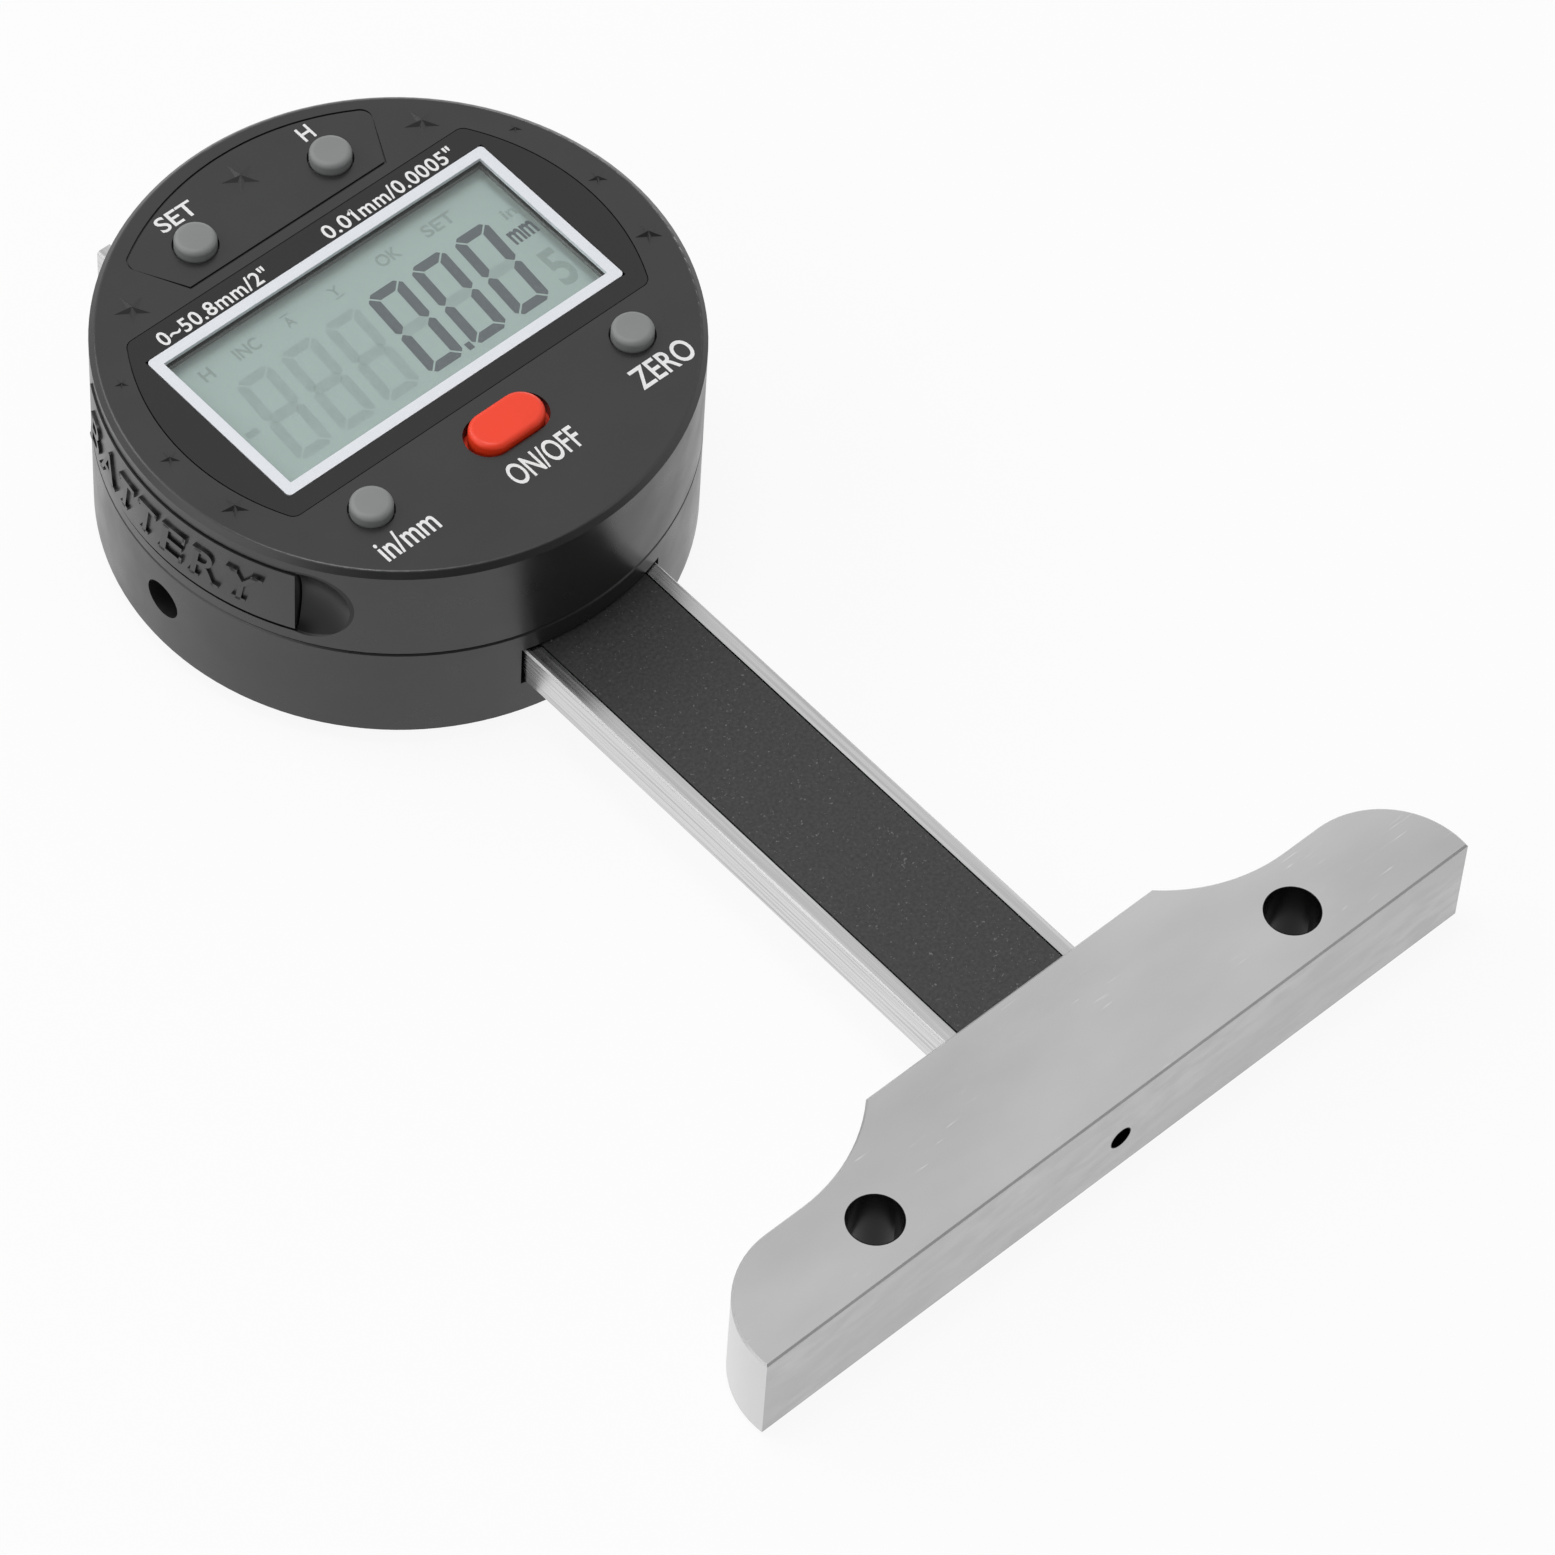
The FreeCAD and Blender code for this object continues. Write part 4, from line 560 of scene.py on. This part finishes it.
class GAUGE_OT_stars(bpy.types.Operator):
    """Add the raised stars on the rim of the face"""
    bl_idname = "gauge.stars"
    bl_label = "Raised stars"

    # place from the head's axis and radius, in millimetres
    PLACES = ((0.5, 24.5, 2.5), (18.75, 18.5, 2.35), (-18.15, 18.5, 2.35), (25.3, 12.0, 1.1),
              (-24.8, 12.0, 1.1), (27.35, 2.0, 1.4), (-27.05, 2.0, 1.4), (26.5, -6.5, 1.8),
              (-26.1, -6.5, 1.8))
    # depth to which the stars go into the face, and the radius up to which they are flatter
    SINK = 0.1 * MM
    FULL_RISE_RADIUS = 1.8
    # distance of the inner corners from a star's middle, as a share of its radius
    WAIST = 0.3

    def execute(self, context):
        rise = context.scene.gauge_sizes.star_rise
        clear_selection()
        bpy.ops.mesh.primitive_circle_add(vertices=10, radius=1.0, fill_type="TRIFAN")
        star = bpy.context.object
        tips = [math.radians(90 + 72 * turn) for turn in range(5)]

        def inner_corner(spot):
            """Whether a corner is neither a tip nor the middle."""
            return spot.length > 0.5 and all(
                (spot - Vector((math.cos(a), math.sin(a), 0))).length > 0.3 for a in tips)

        pick(star, inner_corner, "VERT")
        bpy.ops.transform.resize(value=(self.WAIST, self.WAIST, 1))
        pick(star, lambda spot: spot.length < 0.1, "VERT")
        bpy.ops.transform.translate(value=(0, 0, 1))
        bpy.ops.mesh.select_all(action="SELECT")
        bpy.ops.mesh.fill_holes(sides=10)
        bpy.ops.mesh.select_all(action="SELECT")
        bpy.ops.mesh.normals_make_consistent(inside=False)
        bpy.ops.object.mode_set(mode="OBJECT")
        stars = []
        for x, y, radius in self.PLACES:
            copy = copy_of(star)
            copy.location = (HEAD_X + x * MM, HEAD_Y + y * MM, FACE_Z - self.SINK)
            height = (rise + self.SINK) * min(1, radius / self.FULL_RISE_RADIUS)
            copy.scale = (radius * MM, radius * MM, height)
            settle(copy)
            stars.append(copy)
        bpy.data.objects.remove(star)
        piece = join(stars)
        name_piece(piece, "face_stars", bpy.data.materials["moulded_black_abs"])
        return {"FINISHED"}


class GAUGE_OT_door_letters(bpy.types.Operator):
    """Add the raised word on the battery door"""
    bl_idname = "gauge.door_letters"
    bl_label = "Battery door word"

    # letter, middle in degrees round the head, width in millimetres
    LETTERS = (("B", 155.4, 3.0), ("A", 162.7, 3.3), ("T", 169.9, 2.95), ("T", 176.7, 2.95),
               ("E", 184.1, 2.9), ("R", 192.0, 3.0), ("Y", 199.9, 3.4))
    # serifs of a letter: left, right, low and high end, in shares of its width and height
    FOOT, HEAD = (0.0, 0.09), (0.91, 1.0)
    SERIFS = {"B": ((-0.08, 0.25, *FOOT), (-0.08, 0.25, *HEAD)),
              "A": ((-0.1, 0.22, *FOOT), (0.78, 1.1, *FOOT)),
              "T": ((0.27, 0.73, *FOOT), (0.0, 0.1, 0.78, 1.0), (0.9, 1.0, 0.78, 1.0)),
              "E": ((-0.1, 0.25, *FOOT), (-0.1, 0.25, *HEAD), (0.9, 1.02, 0.76, 1.0),
                    (0.9, 1.02, 0.0, 0.24)),
              "R": ((-0.1, 0.35, *FOOT), (-0.1, 0.25, *HEAD), (0.85, 1.15, *FOOT)),
              "Y": ((0.27, 0.73, *FOOT), (-0.1, 0.28, *HEAD), (0.72, 1.1, *HEAD))}
    # height and base line in millimetres, sideways lean for each length of height, weight of the
    # strokes, and depth to which the letters go into the door
    HEIGHT = 4.5
    BASE = 18.0
    LEAN = 0.17
    WEIGHT = 0.004
    SINK = 0.1 * MM

    def letter(self, letter, width, thickness, capital):
        """Slab-serif letter that stands on y = 0, centred on x = 0."""
        piece = letters(letter, thickness, self.WEIGHT)
        low, high = extent(piece)
        piece.data.transform(
            Matrix.Translation((-width * MM / 2, 0, 0))
            @ Matrix.Diagonal((width * MM / (high.x - low.x), self.HEIGHT * MM / capital, 1, 1))
            @ Matrix.Translation((-low.x, 0, 0)))
        parts = [piece]
        for left, right, foot, head in self.SERIFS[letter]:
            x, y = ((left + right) / 2 - 0.5) * width, (foot + head) / 2 * self.HEIGHT
            parts.append(slab(x, y, 0, (right - left) * width, (head - foot) * self.HEIGHT,
                              thickness))
        made = join(parts)
        lean = Matrix.Identity(4)
        lean[0][1] = self.LEAN
        made.data.transform(Matrix.Translation((-self.LEAN * self.HEIGHT * MM / 2, 0, 0)) @ lean)
        return made

    def execute(self, context):
        rise = context.scene.gauge_sizes.letter_rise
        pieces = []
        capital = capital_height()
        for letter, angle, width in self.LETTERS:
            piece = self.letter(letter, width, rise + self.SINK, capital)
            around = math.radians(angle)
            out = DOOR_RADIUS + (rise - self.SINK) / 2
            piece.rotation_euler = (UPRIGHT, 0, around + UPRIGHT)
            piece.location = (HEAD_X + out * math.cos(around), HEAD_Y + out * math.sin(around),
                              self.BASE * MM)
            settle(piece)
            pieces.append(piece)
        word = join(pieces)
        name_piece(word, "door_word", bpy.data.materials["moulded_black_abs"], "battery_door")
        return {"FINISHED"}


class GAUGE_OT_print(bpy.types.Operator):
    """Add the printed names of the keys and the range and resolution above the display"""
    bl_idname = "gauge.print"
    bl_label = "Printed words"

    # words, left and right end, base line, height of a capital, in millimetres
    KEY_NAMES = (("SET", -9.75, -5.25, 23.8, 1.86), ("H", 8.38, 9.77, 23.85, 1.86),
                 ("ZERO", 13.2, 20.3, -20.9, 2.6), ("ON/OFF", -3.7, 4.8, -22.05, 2.6),
                 ("in/mm", -19.1, -12.4, -20.9, 2.6))
    RANGES = (("0~50.8mm/2\"", -18.7, -5.15, 12.87, 1.68), ("0.0", 2.1, 5.25, 12.87, 1.68),
              ("mm/0.0005\"", 6.6, 18.6, 12.87, 1.68))
    # extra weight of the strokes, and the spacing of the ranges' letters
    NAME_WEIGHT, RANGE_WEIGHT, RANGE_SPACING = 0.012, 0.014, 1.08
    # stem and flag of the figure one: middle, width, height and turn
    ONE = ((5.97, 13.71, 0.3, 1.68, 0.0), (5.74, 14.24, 0.28, 0.62, math.radians(-50)))

    def execute(self, context):
        film = context.scene.gauge_sizes.print_film
        ink = screen_print("white_screen_print", context.scene.gauge_colours.print)
        names = [printed_words(*row, FACE_Z, film, self.NAME_WEIGHT) for row in self.KEY_NAMES]
        name_piece(join(names), "key_names", ink)
        ranges = [printed_words(*row, INLAY_Z, film, self.RANGE_WEIGHT, self.RANGE_SPACING)
                  for row in self.RANGES]
        for x, y, width, height, turn in self.ONE:
            ranges.append(slab(HEAD_X / MM + x, HEAD_Y / MM + y, INLAY_Z + film / 2, width, height,
                               film, turn))
        name_piece(join(ranges), "range_print", ink)
        return {"FINISHED"}


class GAUGE_OT_display(bpy.types.Operator):
    """Finish the display, its window, frame and inlay, and add its digits and signs"""
    bl_idname = "gauge.display"
    bl_label = "Display"

    # right end of the last digit's top edge, and the base line, in millimetres from the axis
    LAST_DIGIT = 16.3
    BASE = -5.52
    # number of digits, and of those that are switched on
    DIGITS = 6
    LIT = 3
    # cuts at the digits' outer corners and at the middle, in shares of the stroke
    CORNER_CUT = 0.7
    MIDDLE_CUT = 0.3
    # unit that is switched on, and signs that aren't: word, ends, base line, height of a capital
    UNIT = ("mm", 16.6, 19.6, 1.72, 2.35)
    UNIT_WEIGHT, SIGN_WEIGHT = 0.03, 0.02
    SIGNS = (("H", -17.6, -16.3, 7.9, 1.45), ("INC", -13.4, -10.5, 7.9, 1.45),
             ("A", -7.15, -6.1, 7.95, 1.2), ("Y", -1.45, -0.25, 8.1, 1.15),
             ("OK", 4.6, 7.3, 7.9, 1.45), ("SET", 10.5, 14.3, 7.9, 1.45),
             ("5", 16.9, 19.05, -5.3, 4.65), ("in", 17.9, 19.4, 4.7, 1.3))
    # bars over the upper mark and under the lower one: middle, width and height
    SIGN_BARS = ((-6.62, 9.5, 1.0, 0.16), (-0.85, 7.78, 1.1, 0.16))
    # decimal point and minus sign: middle, width and height
    MARKS = {"lit_segments": (4.79, -4.95, 0.66, 0.95), "unlit_segments": (-18.2, 0.3, 1.4, 0.8)}

    def half_digit(self, sizes, upper):
        """Top or bottom half of a nought: three bars, mitred at the corners."""
        stroke, middle = sizes.digit_stroke, sizes.digit_height / 2
        tall = middle + stroke / 2
        centre = middle + (1 if upper else -1) * (tall / 2 - stroke / 2)
        clear_selection()
        bpy.ops.mesh.primitive_plane_add(size=1, location=(-sizes.digit_width / 2, centre, 0))
        half = bpy.context.object
        half.scale = (sizes.digit_width, tall, 1)
        settle(half)
        bpy.ops.object.mode_set(mode="EDIT")
        bpy.ops.mesh.select_all(action="SELECT")
        bpy.ops.mesh.inset(thickness=stroke)
        bpy.ops.mesh.delete(type="FACE")
        bpy.ops.mesh.select_all(action="SELECT")
        bpy.ops.mesh.bisect(plane_co=(0, middle, 0), plane_no=(0, 1, 0), clear_inner=upper,
                            clear_outer=not upper)
        bpy.ops.object.mode_set(mode="OBJECT")
        pick(half, lambda spot: abs(spot.y - middle) < stroke / 2
             and abs(spot.x + sizes.digit_width / 2) < sizes.digit_width / 4)
        bpy.ops.mesh.delete(type="FACE")
        bpy.ops.object.mode_set(mode="OBJECT")
        return half

    def bar(self, sizes):
        """Bar across the middle of an eight, pointed at both ends."""
        clear_selection()
        bpy.ops.mesh.primitive_plane_add(size=1, location=(
            -sizes.digit_width / 2, sizes.digit_height / 2, 0))
        bar = bpy.context.object
        bar.scale = (sizes.digit_width - sizes.digit_stroke, sizes.digit_stroke, 1)
        settle(bar)
        bpy.ops.object.mode_set(mode="EDIT")
        bpy.ops.mesh.select_all(action="SELECT")
        bpy.ops.mesh.bevel(affect="VERTICES", offset_type="OFFSET", segments=1,
                           offset=sizes.digit_stroke / 2 * math.sqrt(0.5))
        bpy.ops.mesh.select_all(action="SELECT")
        bpy.ops.mesh.remove_doubles(threshold=0.02 * MM)
        bpy.ops.object.mode_set(mode="OBJECT")
        return bar

    def part_bars(self, piece, sizes):
        """Draw every bar in by half the gap, and cut the digit's corners at its middle height
        and outside."""
        select_only(piece)
        bpy.ops.object.mode_set(mode="EDIT")
        bpy.ops.mesh.select_all(action="SELECT")
        bpy.ops.mesh.inset(thickness=sizes.digit_gap / 2, use_individual=True)
        bpy.ops.mesh.select_all(action="INVERT")
        bpy.ops.mesh.delete(type="FACE")
        bpy.ops.object.mode_set(mode="OBJECT")
        near, middle = sizes.digit_gap * 1.6, sizes.digit_height / 2
        pick(piece, lambda spot: min(-spot.x, spot.x + sizes.digit_width) < near
             and abs(spot.y - middle) < near, "VERT")
        bpy.ops.mesh.bevel(affect="VERTICES", offset=sizes.digit_stroke * self.MIDDLE_CUT,
                           segments=1)
        bpy.ops.object.mode_set(mode="OBJECT")
        cut = sizes.digit_stroke * self.CORNER_CUT
        select_only(piece)
        bpy.ops.object.mode_set(mode="EDIT")
        for across, x in ((1, -cut), (-1, cut - sizes.digit_width)):
            for up, y in ((1, sizes.digit_height), (-1, 0.0)):
                bpy.ops.mesh.select_all(action="SELECT")
                bpy.ops.mesh.bisect(plane_co=(x, y, 0), plane_no=(across, up, 0),
                                    clear_outer=True)
        bpy.ops.object.mode_set(mode="OBJECT")

    def add_segments(self, pieces, name, material, sizes, thickness):
        """Put bars in their digits' places, and make one film of them and their mark."""
        slant = Matrix.Identity(4)
        slant[0][1] = math.tan(sizes.digit_slant)
        lean = slant[0][1] * sizes.digit_height
        for piece, place in pieces:
            right = HEAD_X + self.LAST_DIGIT * MM - sizes.digit_pitch * place
            piece.data.transform(
                Matrix.Translation((right - lean, HEAD_Y + self.BASE * MM, GLASS_Z)) @ slant)
        group = join([piece for piece, _ in pieces])
        x, y, width, height = self.MARKS[name]
        clear_selection()
        bpy.ops.mesh.primitive_plane_add(size=1, location=(HEAD_X + x * MM, HEAD_Y + y * MM,
                                                           GLASS_Z))
        mark = bpy.context.object
        mark.scale = (width * MM, height * MM, 1)
        settle(mark)
        group = join([group, mark])
        select_only(group)
        bpy.ops.object.mode_set(mode="EDIT")
        bpy.ops.mesh.select_all(action="SELECT")
        bpy.ops.mesh.extrude_region_move(TRANSFORM_OT_translate={"value": (0, 0, thickness)})
        bpy.ops.mesh.select_all(action="SELECT")
        bpy.ops.mesh.normals_make_consistent(inside=False)
        bpy.ops.object.mode_set(mode="OBJECT")
        name_piece(group, name, material)

    def execute(self, context):
        colours, sizes = context.scene.gauge_colours, context.scene.gauge_sizes
        give(display_ground("reflective_display_ground", colours.glass), "lcd_glass")
        give(clear_acrylic("clear_acrylic"), "display_window")
        give(polished_inlay("polished_black_acrylic", colours.inlay), "display_panel")
        give(silver_paint("satin_silver_paint", colours.trim), "window_frame")

        nought = join([self.half_digit(sizes, True), self.half_digit(sizes, False)])
        self.part_bars(nought, sizes)
        bar = self.bar(sizes)
        self.part_bars(bar, sizes)
        lit, unlit = [], []
        for place in range(self.DIGITS):
            (lit if place < self.LIT else unlit).append((copy_of(nought), place))
            unlit.append((copy_of(bar), place))
        bpy.data.objects.remove(nought)
        bpy.data.objects.remove(bar)
        unlit_film = crystal_film("unlit_segments_film", colours.ghost)
        lit_film = crystal_film("lit_segments_film", colours.segment)
        self.add_segments(unlit, "unlit_segments", unlit_film, sizes, sizes.segment_film / 2)
        self.add_segments(lit, "lit_segments", lit_film, sizes, sizes.segment_film)

        film = sizes.segment_film
        unit = printed_words(*self.UNIT, GLASS_Z, film, self.UNIT_WEIGHT)
        name_piece(unit, "unit_sign", lit_film)
        signs = [printed_words(*row, GLASS_Z, film, self.SIGN_WEIGHT) for row in self.SIGNS]
        for x, y, width, height in self.SIGN_BARS:
            signs.append(slab(HEAD_X / MM + x, HEAD_Y / MM + y, GLASS_Z + film / 2, width, height,
                              film))
        name_piece(join(signs), "unlit_signs", crystal_film("unlit_signs_film", colours.sign))
        return {"FINISHED"}


class GAUGE_OT_keys(bpy.types.Operator):
    """Finish the five keys"""
    bl_idname = "gauge.keys"
    bl_label = "Keys"

    def execute(self, context):
        colours = context.scene.gauge_colours
        give(moulded_abs("moulded_grey_abs", colours.grey_key, 0.5, 0.25, 0.003),
             "set_button", "hold_button", "zero_button", "unit_button")
        give(moulded_abs("moulded_red_abs", colours.red_key, 0.42, 0.25, 0.003), "power_button")
        return {"FINISHED"}


class GAUGE_OT_inside(bpy.types.Operator):
    """Finish what the case and the base hide"""
    bl_idname = "gauge.inside"
    bl_label = "Hidden parts"

    def execute(self, context):
        give(glass_fibre_board("lacquered_circuit_board"), "scale_board", "sensor_board",
             "display_board")
        give(plated_steel("cast_zinc_runner", "#9A9C9E", 0.48), "slider_frame")
        give(plated_steel("rolled_brass", "#C9A55A", 0.35), "gib_strip")
        give(plated_steel("nickel_spring_strip", "#C8C6BE", 0.3), "battery_contact_plus",
             "battery_contact_minus")
        give(plated_steel("battery_steel", "#CFD1D3", 0.25), "battery_cell")
        give(moulded_abs("black_chip_resin", linear("#1B1B1C"), 0.5), "display_chip")
        give(moulded_abs("natural_nylon", linear("#C9C5B8"), 0.5), "board_link", "lcd_holder",
             "battery_holder")
        give(moulded_abs("striped_silicone", linear("#5C5F63"), 0.7), "lcd_strips")
        return {"FINISHED"}


class GAUGE_OT_domes(bpy.types.Operator):
    """Add the snap domes that give way under the keys"""
    bl_idname = "gauge.domes"
    bl_label = "Snap domes"

    KEYS = ("set", "hold", "zero", "unit", "power")
    # thickness of the strip in millimetres
    WALL = 0.15
    # share of its height that a dome keeps under a pressed key
    PRESSED = 0.28
    # distance in metres up to which a cut takes a corner as its own
    EXACT = 1e-7

    def dome(self, low, high):
        """Cap of a sphere over the dome's place, open below, with a wall of spring strip."""
        rise = high.z - low.z
        reach = (high.x - low.x) / 2
        radius = (reach ** 2 + rise ** 2) / (2 * rise)
        clear_selection()
        bpy.ops.mesh.primitive_uv_sphere_add(
            segments=48, ring_count=64, radius=radius,
            location=((low.x + high.x) / 2, (low.y + high.y) / 2, high.z - radius))
        dome = bpy.context.object
        settle(dome)
        bpy.ops.object.mode_set(mode="EDIT")
        bpy.ops.mesh.select_all(action="SELECT")
        bpy.ops.mesh.bisect(plane_co=low - Vector((0, 0, rise / 2)), plane_no=(0, 0, 1),
                            clear_inner=True, threshold=self.EXACT)
        bpy.ops.object.mode_set(mode="OBJECT")
        wall = dome.modifiers.new("wall", "SOLIDIFY")
        wall.thickness = self.WALL * MM
        wall.offset = -1
        bpy.ops.object.modifier_apply(modifier=wall.name)
        bpy.ops.object.mode_set(mode="EDIT")
        bpy.ops.mesh.select_all(action="SELECT")
        bpy.ops.mesh.select_mode(type="EDGE")
        bpy.ops.mesh.bisect(plane_co=low, plane_no=(0, 0, 1), clear_inner=True,
                            threshold=self.EXACT)
        bpy.ops.mesh.bridge_edge_loops()
        bpy.ops.mesh.select_all(action="SELECT")
        bpy.ops.mesh.normals_make_consistent(inside=False)
        bpy.ops.object.mode_set(mode="OBJECT")
        bpy.ops.object.shade_smooth_by_angle(angle=math.radians(30))
        return dome

    def execute(self, context):
        spring = plated_steel("nickel_spring_dome", "#C8C6BE", 0.3)
        for key in self.KEYS:
            low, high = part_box(f"{key}_dome")
            dome = name_piece(self.dome(low, high), f"{key}_snap_dome", spring)
            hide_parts(f"{key}_dome")
            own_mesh(dome)
        return {"FINISHED"}


class GAUGE_OT_stage(bpy.types.Operator):
    """Add the pale floor, the soft lamps and the camera"""
    bl_idname = "gauge.stage"
    bl_label = "Floor, lamps and camera"

    # the photograph's camera: place in metres, turn in degrees, lens and sensor in millimetres
    CAMERA_PLACE = (-0.334058, -0.280124, 0.657177)
    CAMERA_TURN = (35.896176, -2.497435, -42.021838)
    FOCAL_LENGTH = 193.4212
    SENSOR_WIDTH = 36.0
    NEAREST = 0.01
    # name, place in metres, watts and width in metres
    LAMPS = (("key_lamp", (-0.064, 0.16, 0.872), 1.85, 0.25),
             ("back_lamp", (-0.35, 0.7, 0.55), 2.0, 0.5),
             ("left_lamp", (-0.7, 0.2, 0.45), 1.0, 0.6),
             ("low_lamp", (0.66, 0.6, 0.12), 0.7, 0.3))
    AIM = Vector((0.0, 0.07, 0.01))
    # light that the room gives; what is seen or mirrored of it is white
    ROOM_LEVEL = 0.4
    # way to the unlit part of the room behind the camera, cosines of the angles from that way at
    # which it starts and is full, and its level
    UNLIT_WAY = (-0.337, -0.925, 0.174)
    UNLIT_EDGE = (0.4, 0.75)
    UNLIT_LEVEL = 0.12
    # width of the floor and its height in metres, and the share of white in what is seen of it;
    # the rest takes the object's shadow
    FLOOR_WIDTH = 6
    FLOOR_Z = -0.0003
    FLOOR_WHITE = 0.91

    def add_floor(self):
        """Pale floor that takes the object's shadow."""
        clear_selection()
        bpy.ops.mesh.primitive_plane_add(size=self.FLOOR_WIDTH,
                                         location=(self.AIM.x, self.AIM.y, self.FLOOR_Z))
        floor = bpy.context.object
        floor.name = "floor"
        material = bpy.data.materials.new("pale_floor")
        material.use_nodes = True
        tree = material.node_tree
        tree.nodes.clear()
        ray = add_node(tree, "ShaderNodeLightPath")
        paper = add_node(tree, "ShaderNodeBsdfDiffuse", {"Color": (*linear("#F2F2F2"), 1)})
        glow = add_node(tree, "ShaderNodeEmission", {"Color": (1, 1, 1, 1), "Strength": 1.0})
        mirrored = add_node(tree, "ShaderNodeMath", {"operation": "MAXIMUM"},
                            {0: ray.outputs["Is Camera Ray"], 1: ray.outputs["Is Glossy Ray"]})
        share = add_node(tree, "ShaderNodeMath", {"operation": "MULTIPLY", 1: self.FLOOR_WHITE},
                         {0: mirrored.outputs[0]})
        mixed = add_node(tree, "ShaderNodeMixShader", {},
                         {0: share.outputs["Value"], 1: paper.outputs["BSDF"],
                          2: glow.outputs["Emission"]})
        add_node(tree, "ShaderNodeOutputMaterial", {}, {"Surface": mixed.outputs["Shader"]})
        floor.data.materials.append(material)

    def add_room(self, scene):
        """White room that gives soft light, with an unlit part that only gloss shows."""
        world = bpy.data.worlds.new("studio")
        scene.world = world
        world.use_nodes = True
        tree = world.node_tree
        tree.nodes.clear()
        ray = add_node(tree, "ShaderNodeLightPath")
        room = add_node(tree, "ShaderNodeBackground",
                        {"Color": (1, 1, 1, 1), "Strength": self.ROOM_LEVEL})
        way = add_node(tree, "ShaderNodeTexCoord")
        towards = add_node(tree, "ShaderNodeVectorMath",
                           {"operation": "DOT_PRODUCT", 1: self.UNLIT_WAY},
                           {0: way.outputs["Generated"]})
        shade = add_node(tree, "ShaderNodeMapRange",
                         {"From Min": self.UNLIT_EDGE[0], "From Max": self.UNLIT_EDGE[1],
                          "To Min": 1.0, "To Max": self.UNLIT_LEVEL},
                         {"Value": towards.outputs["Value"]})
        level = add_node(tree, "ShaderNodeMix", {2: 1.0},
                         {0: ray.outputs["Is Glossy Ray"], 3: shade.outputs["Result"]})
        wall = add_node(tree, "ShaderNodeBackground", {"Color": (1, 1, 1, 1)},
                        {"Strength": level.outputs[0]})
        mirrored = add_node(tree, "ShaderNodeMath", {"operation": "MAXIMUM"},
                            {0: ray.outputs["Is Camera Ray"], 1: ray.outputs["Is Glossy Ray"]})
        clear = add_node(tree, "ShaderNodeMath", {"operation": "MAXIMUM"},
                         {0: mirrored.outputs[0], 1: ray.outputs["Is Transmission Ray"]})
        mixed = add_node(tree, "ShaderNodeMixShader", {},
                         {0: clear.outputs[0], 1: room.outputs["Background"],
                          2: wall.outputs["Background"]})
        add_node(tree, "ShaderNodeOutputWorld", {}, {"Surface": mixed.outputs["Shader"]})

    def add_lamps(self):
        """Square lamps that face the object."""
        for name, place, watts, size in self.LAMPS:
            turn = (Vector(place) - self.AIM).to_track_quat("Z", "Y").to_euler()
            bpy.ops.object.light_add(type="AREA", location=place, rotation=turn)
            lamp = bpy.context.object
            lamp.name = name
            lamp.data.energy = watts
            lamp.data.size = size

    def add_camera(self, scene):
        """Camera at the photograph's angle."""
        bpy.ops.object.camera_add(location=self.CAMERA_PLACE,
                                  rotation=[math.radians(turn) for turn in self.CAMERA_TURN])
        camera = bpy.context.object
        camera.name = "studio_camera"
        camera.data.lens = self.FOCAL_LENGTH
        camera.data.sensor_width = self.SENSOR_WIDTH
        camera.data.clip_start = self.NEAREST
        scene.camera = camera

    def execute(self, context):
        self.add_floor()
        self.add_room(context.scene)
        self.add_lamps()
        self.add_camera(context.scene)
        context.scene.view_settings.view_transform = "Standard"
        return {"FINISHED"}


OPERATORS = (GAUGE_OT_steel, GAUGE_OT_scale, GAUGE_OT_case, GAUGE_OT_stars, GAUGE_OT_door_letters,
             GAUGE_OT_print, GAUGE_OT_display, GAUGE_OT_keys, GAUGE_OT_inside, GAUGE_OT_domes,
             GAUGE_OT_stage)


class GAUGE_PT_panel(bpy.types.Panel):
    """Buttons, colours and sizes of the depth gauge"""
    bl_idname = "GAUGE_PT_panel"
    bl_label = "Depth gauge"
    bl_space_type = "VIEW_3D"
    bl_region_type = "UI"
    bl_category = "Depth gauge"

    def draw(self, context):
        for settings in (context.scene.gauge_colours, context.scene.gauge_sizes):
            box = self.layout.box()
            for name in type(settings).__annotations__:
                box.prop(settings, name)
        for operator in OPERATORS:
            self.layout.operator(operator.bl_idname)


CLASSES = (GaugeColours, GaugeSizes, *OPERATORS, GAUGE_PT_panel)


def register():
    """Add the settings, buttons and panel to Blender."""
    for item in CLASSES:
        bpy.utils.register_class(item)
    bpy.types.Scene.gauge_colours = bpy.props.PointerProperty(type=GaugeColours)
    bpy.types.Scene.gauge_sizes = bpy.props.PointerProperty(type=GaugeSizes)


def unregister():
    """Take the settings, buttons and panel away again."""
    del bpy.types.Scene.gauge_sizes
    del bpy.types.Scene.gauge_colours
    for item in reversed(CLASSES):
        bpy.utils.unregister_class(item)


def main():
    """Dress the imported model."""
    register()
    bpy.ops.gauge.steel()
    bpy.ops.gauge.scale()
    bpy.ops.gauge.case()
    bpy.ops.gauge.stars()
    bpy.ops.gauge.door_letters()
    bpy.ops.gauge.print()
    bpy.ops.gauge.display()
    bpy.ops.gauge.keys()
    bpy.ops.gauge.inside()
    bpy.ops.gauge.domes()
    bpy.ops.gauge.stage()


if __name__ == "__main__":
    main()
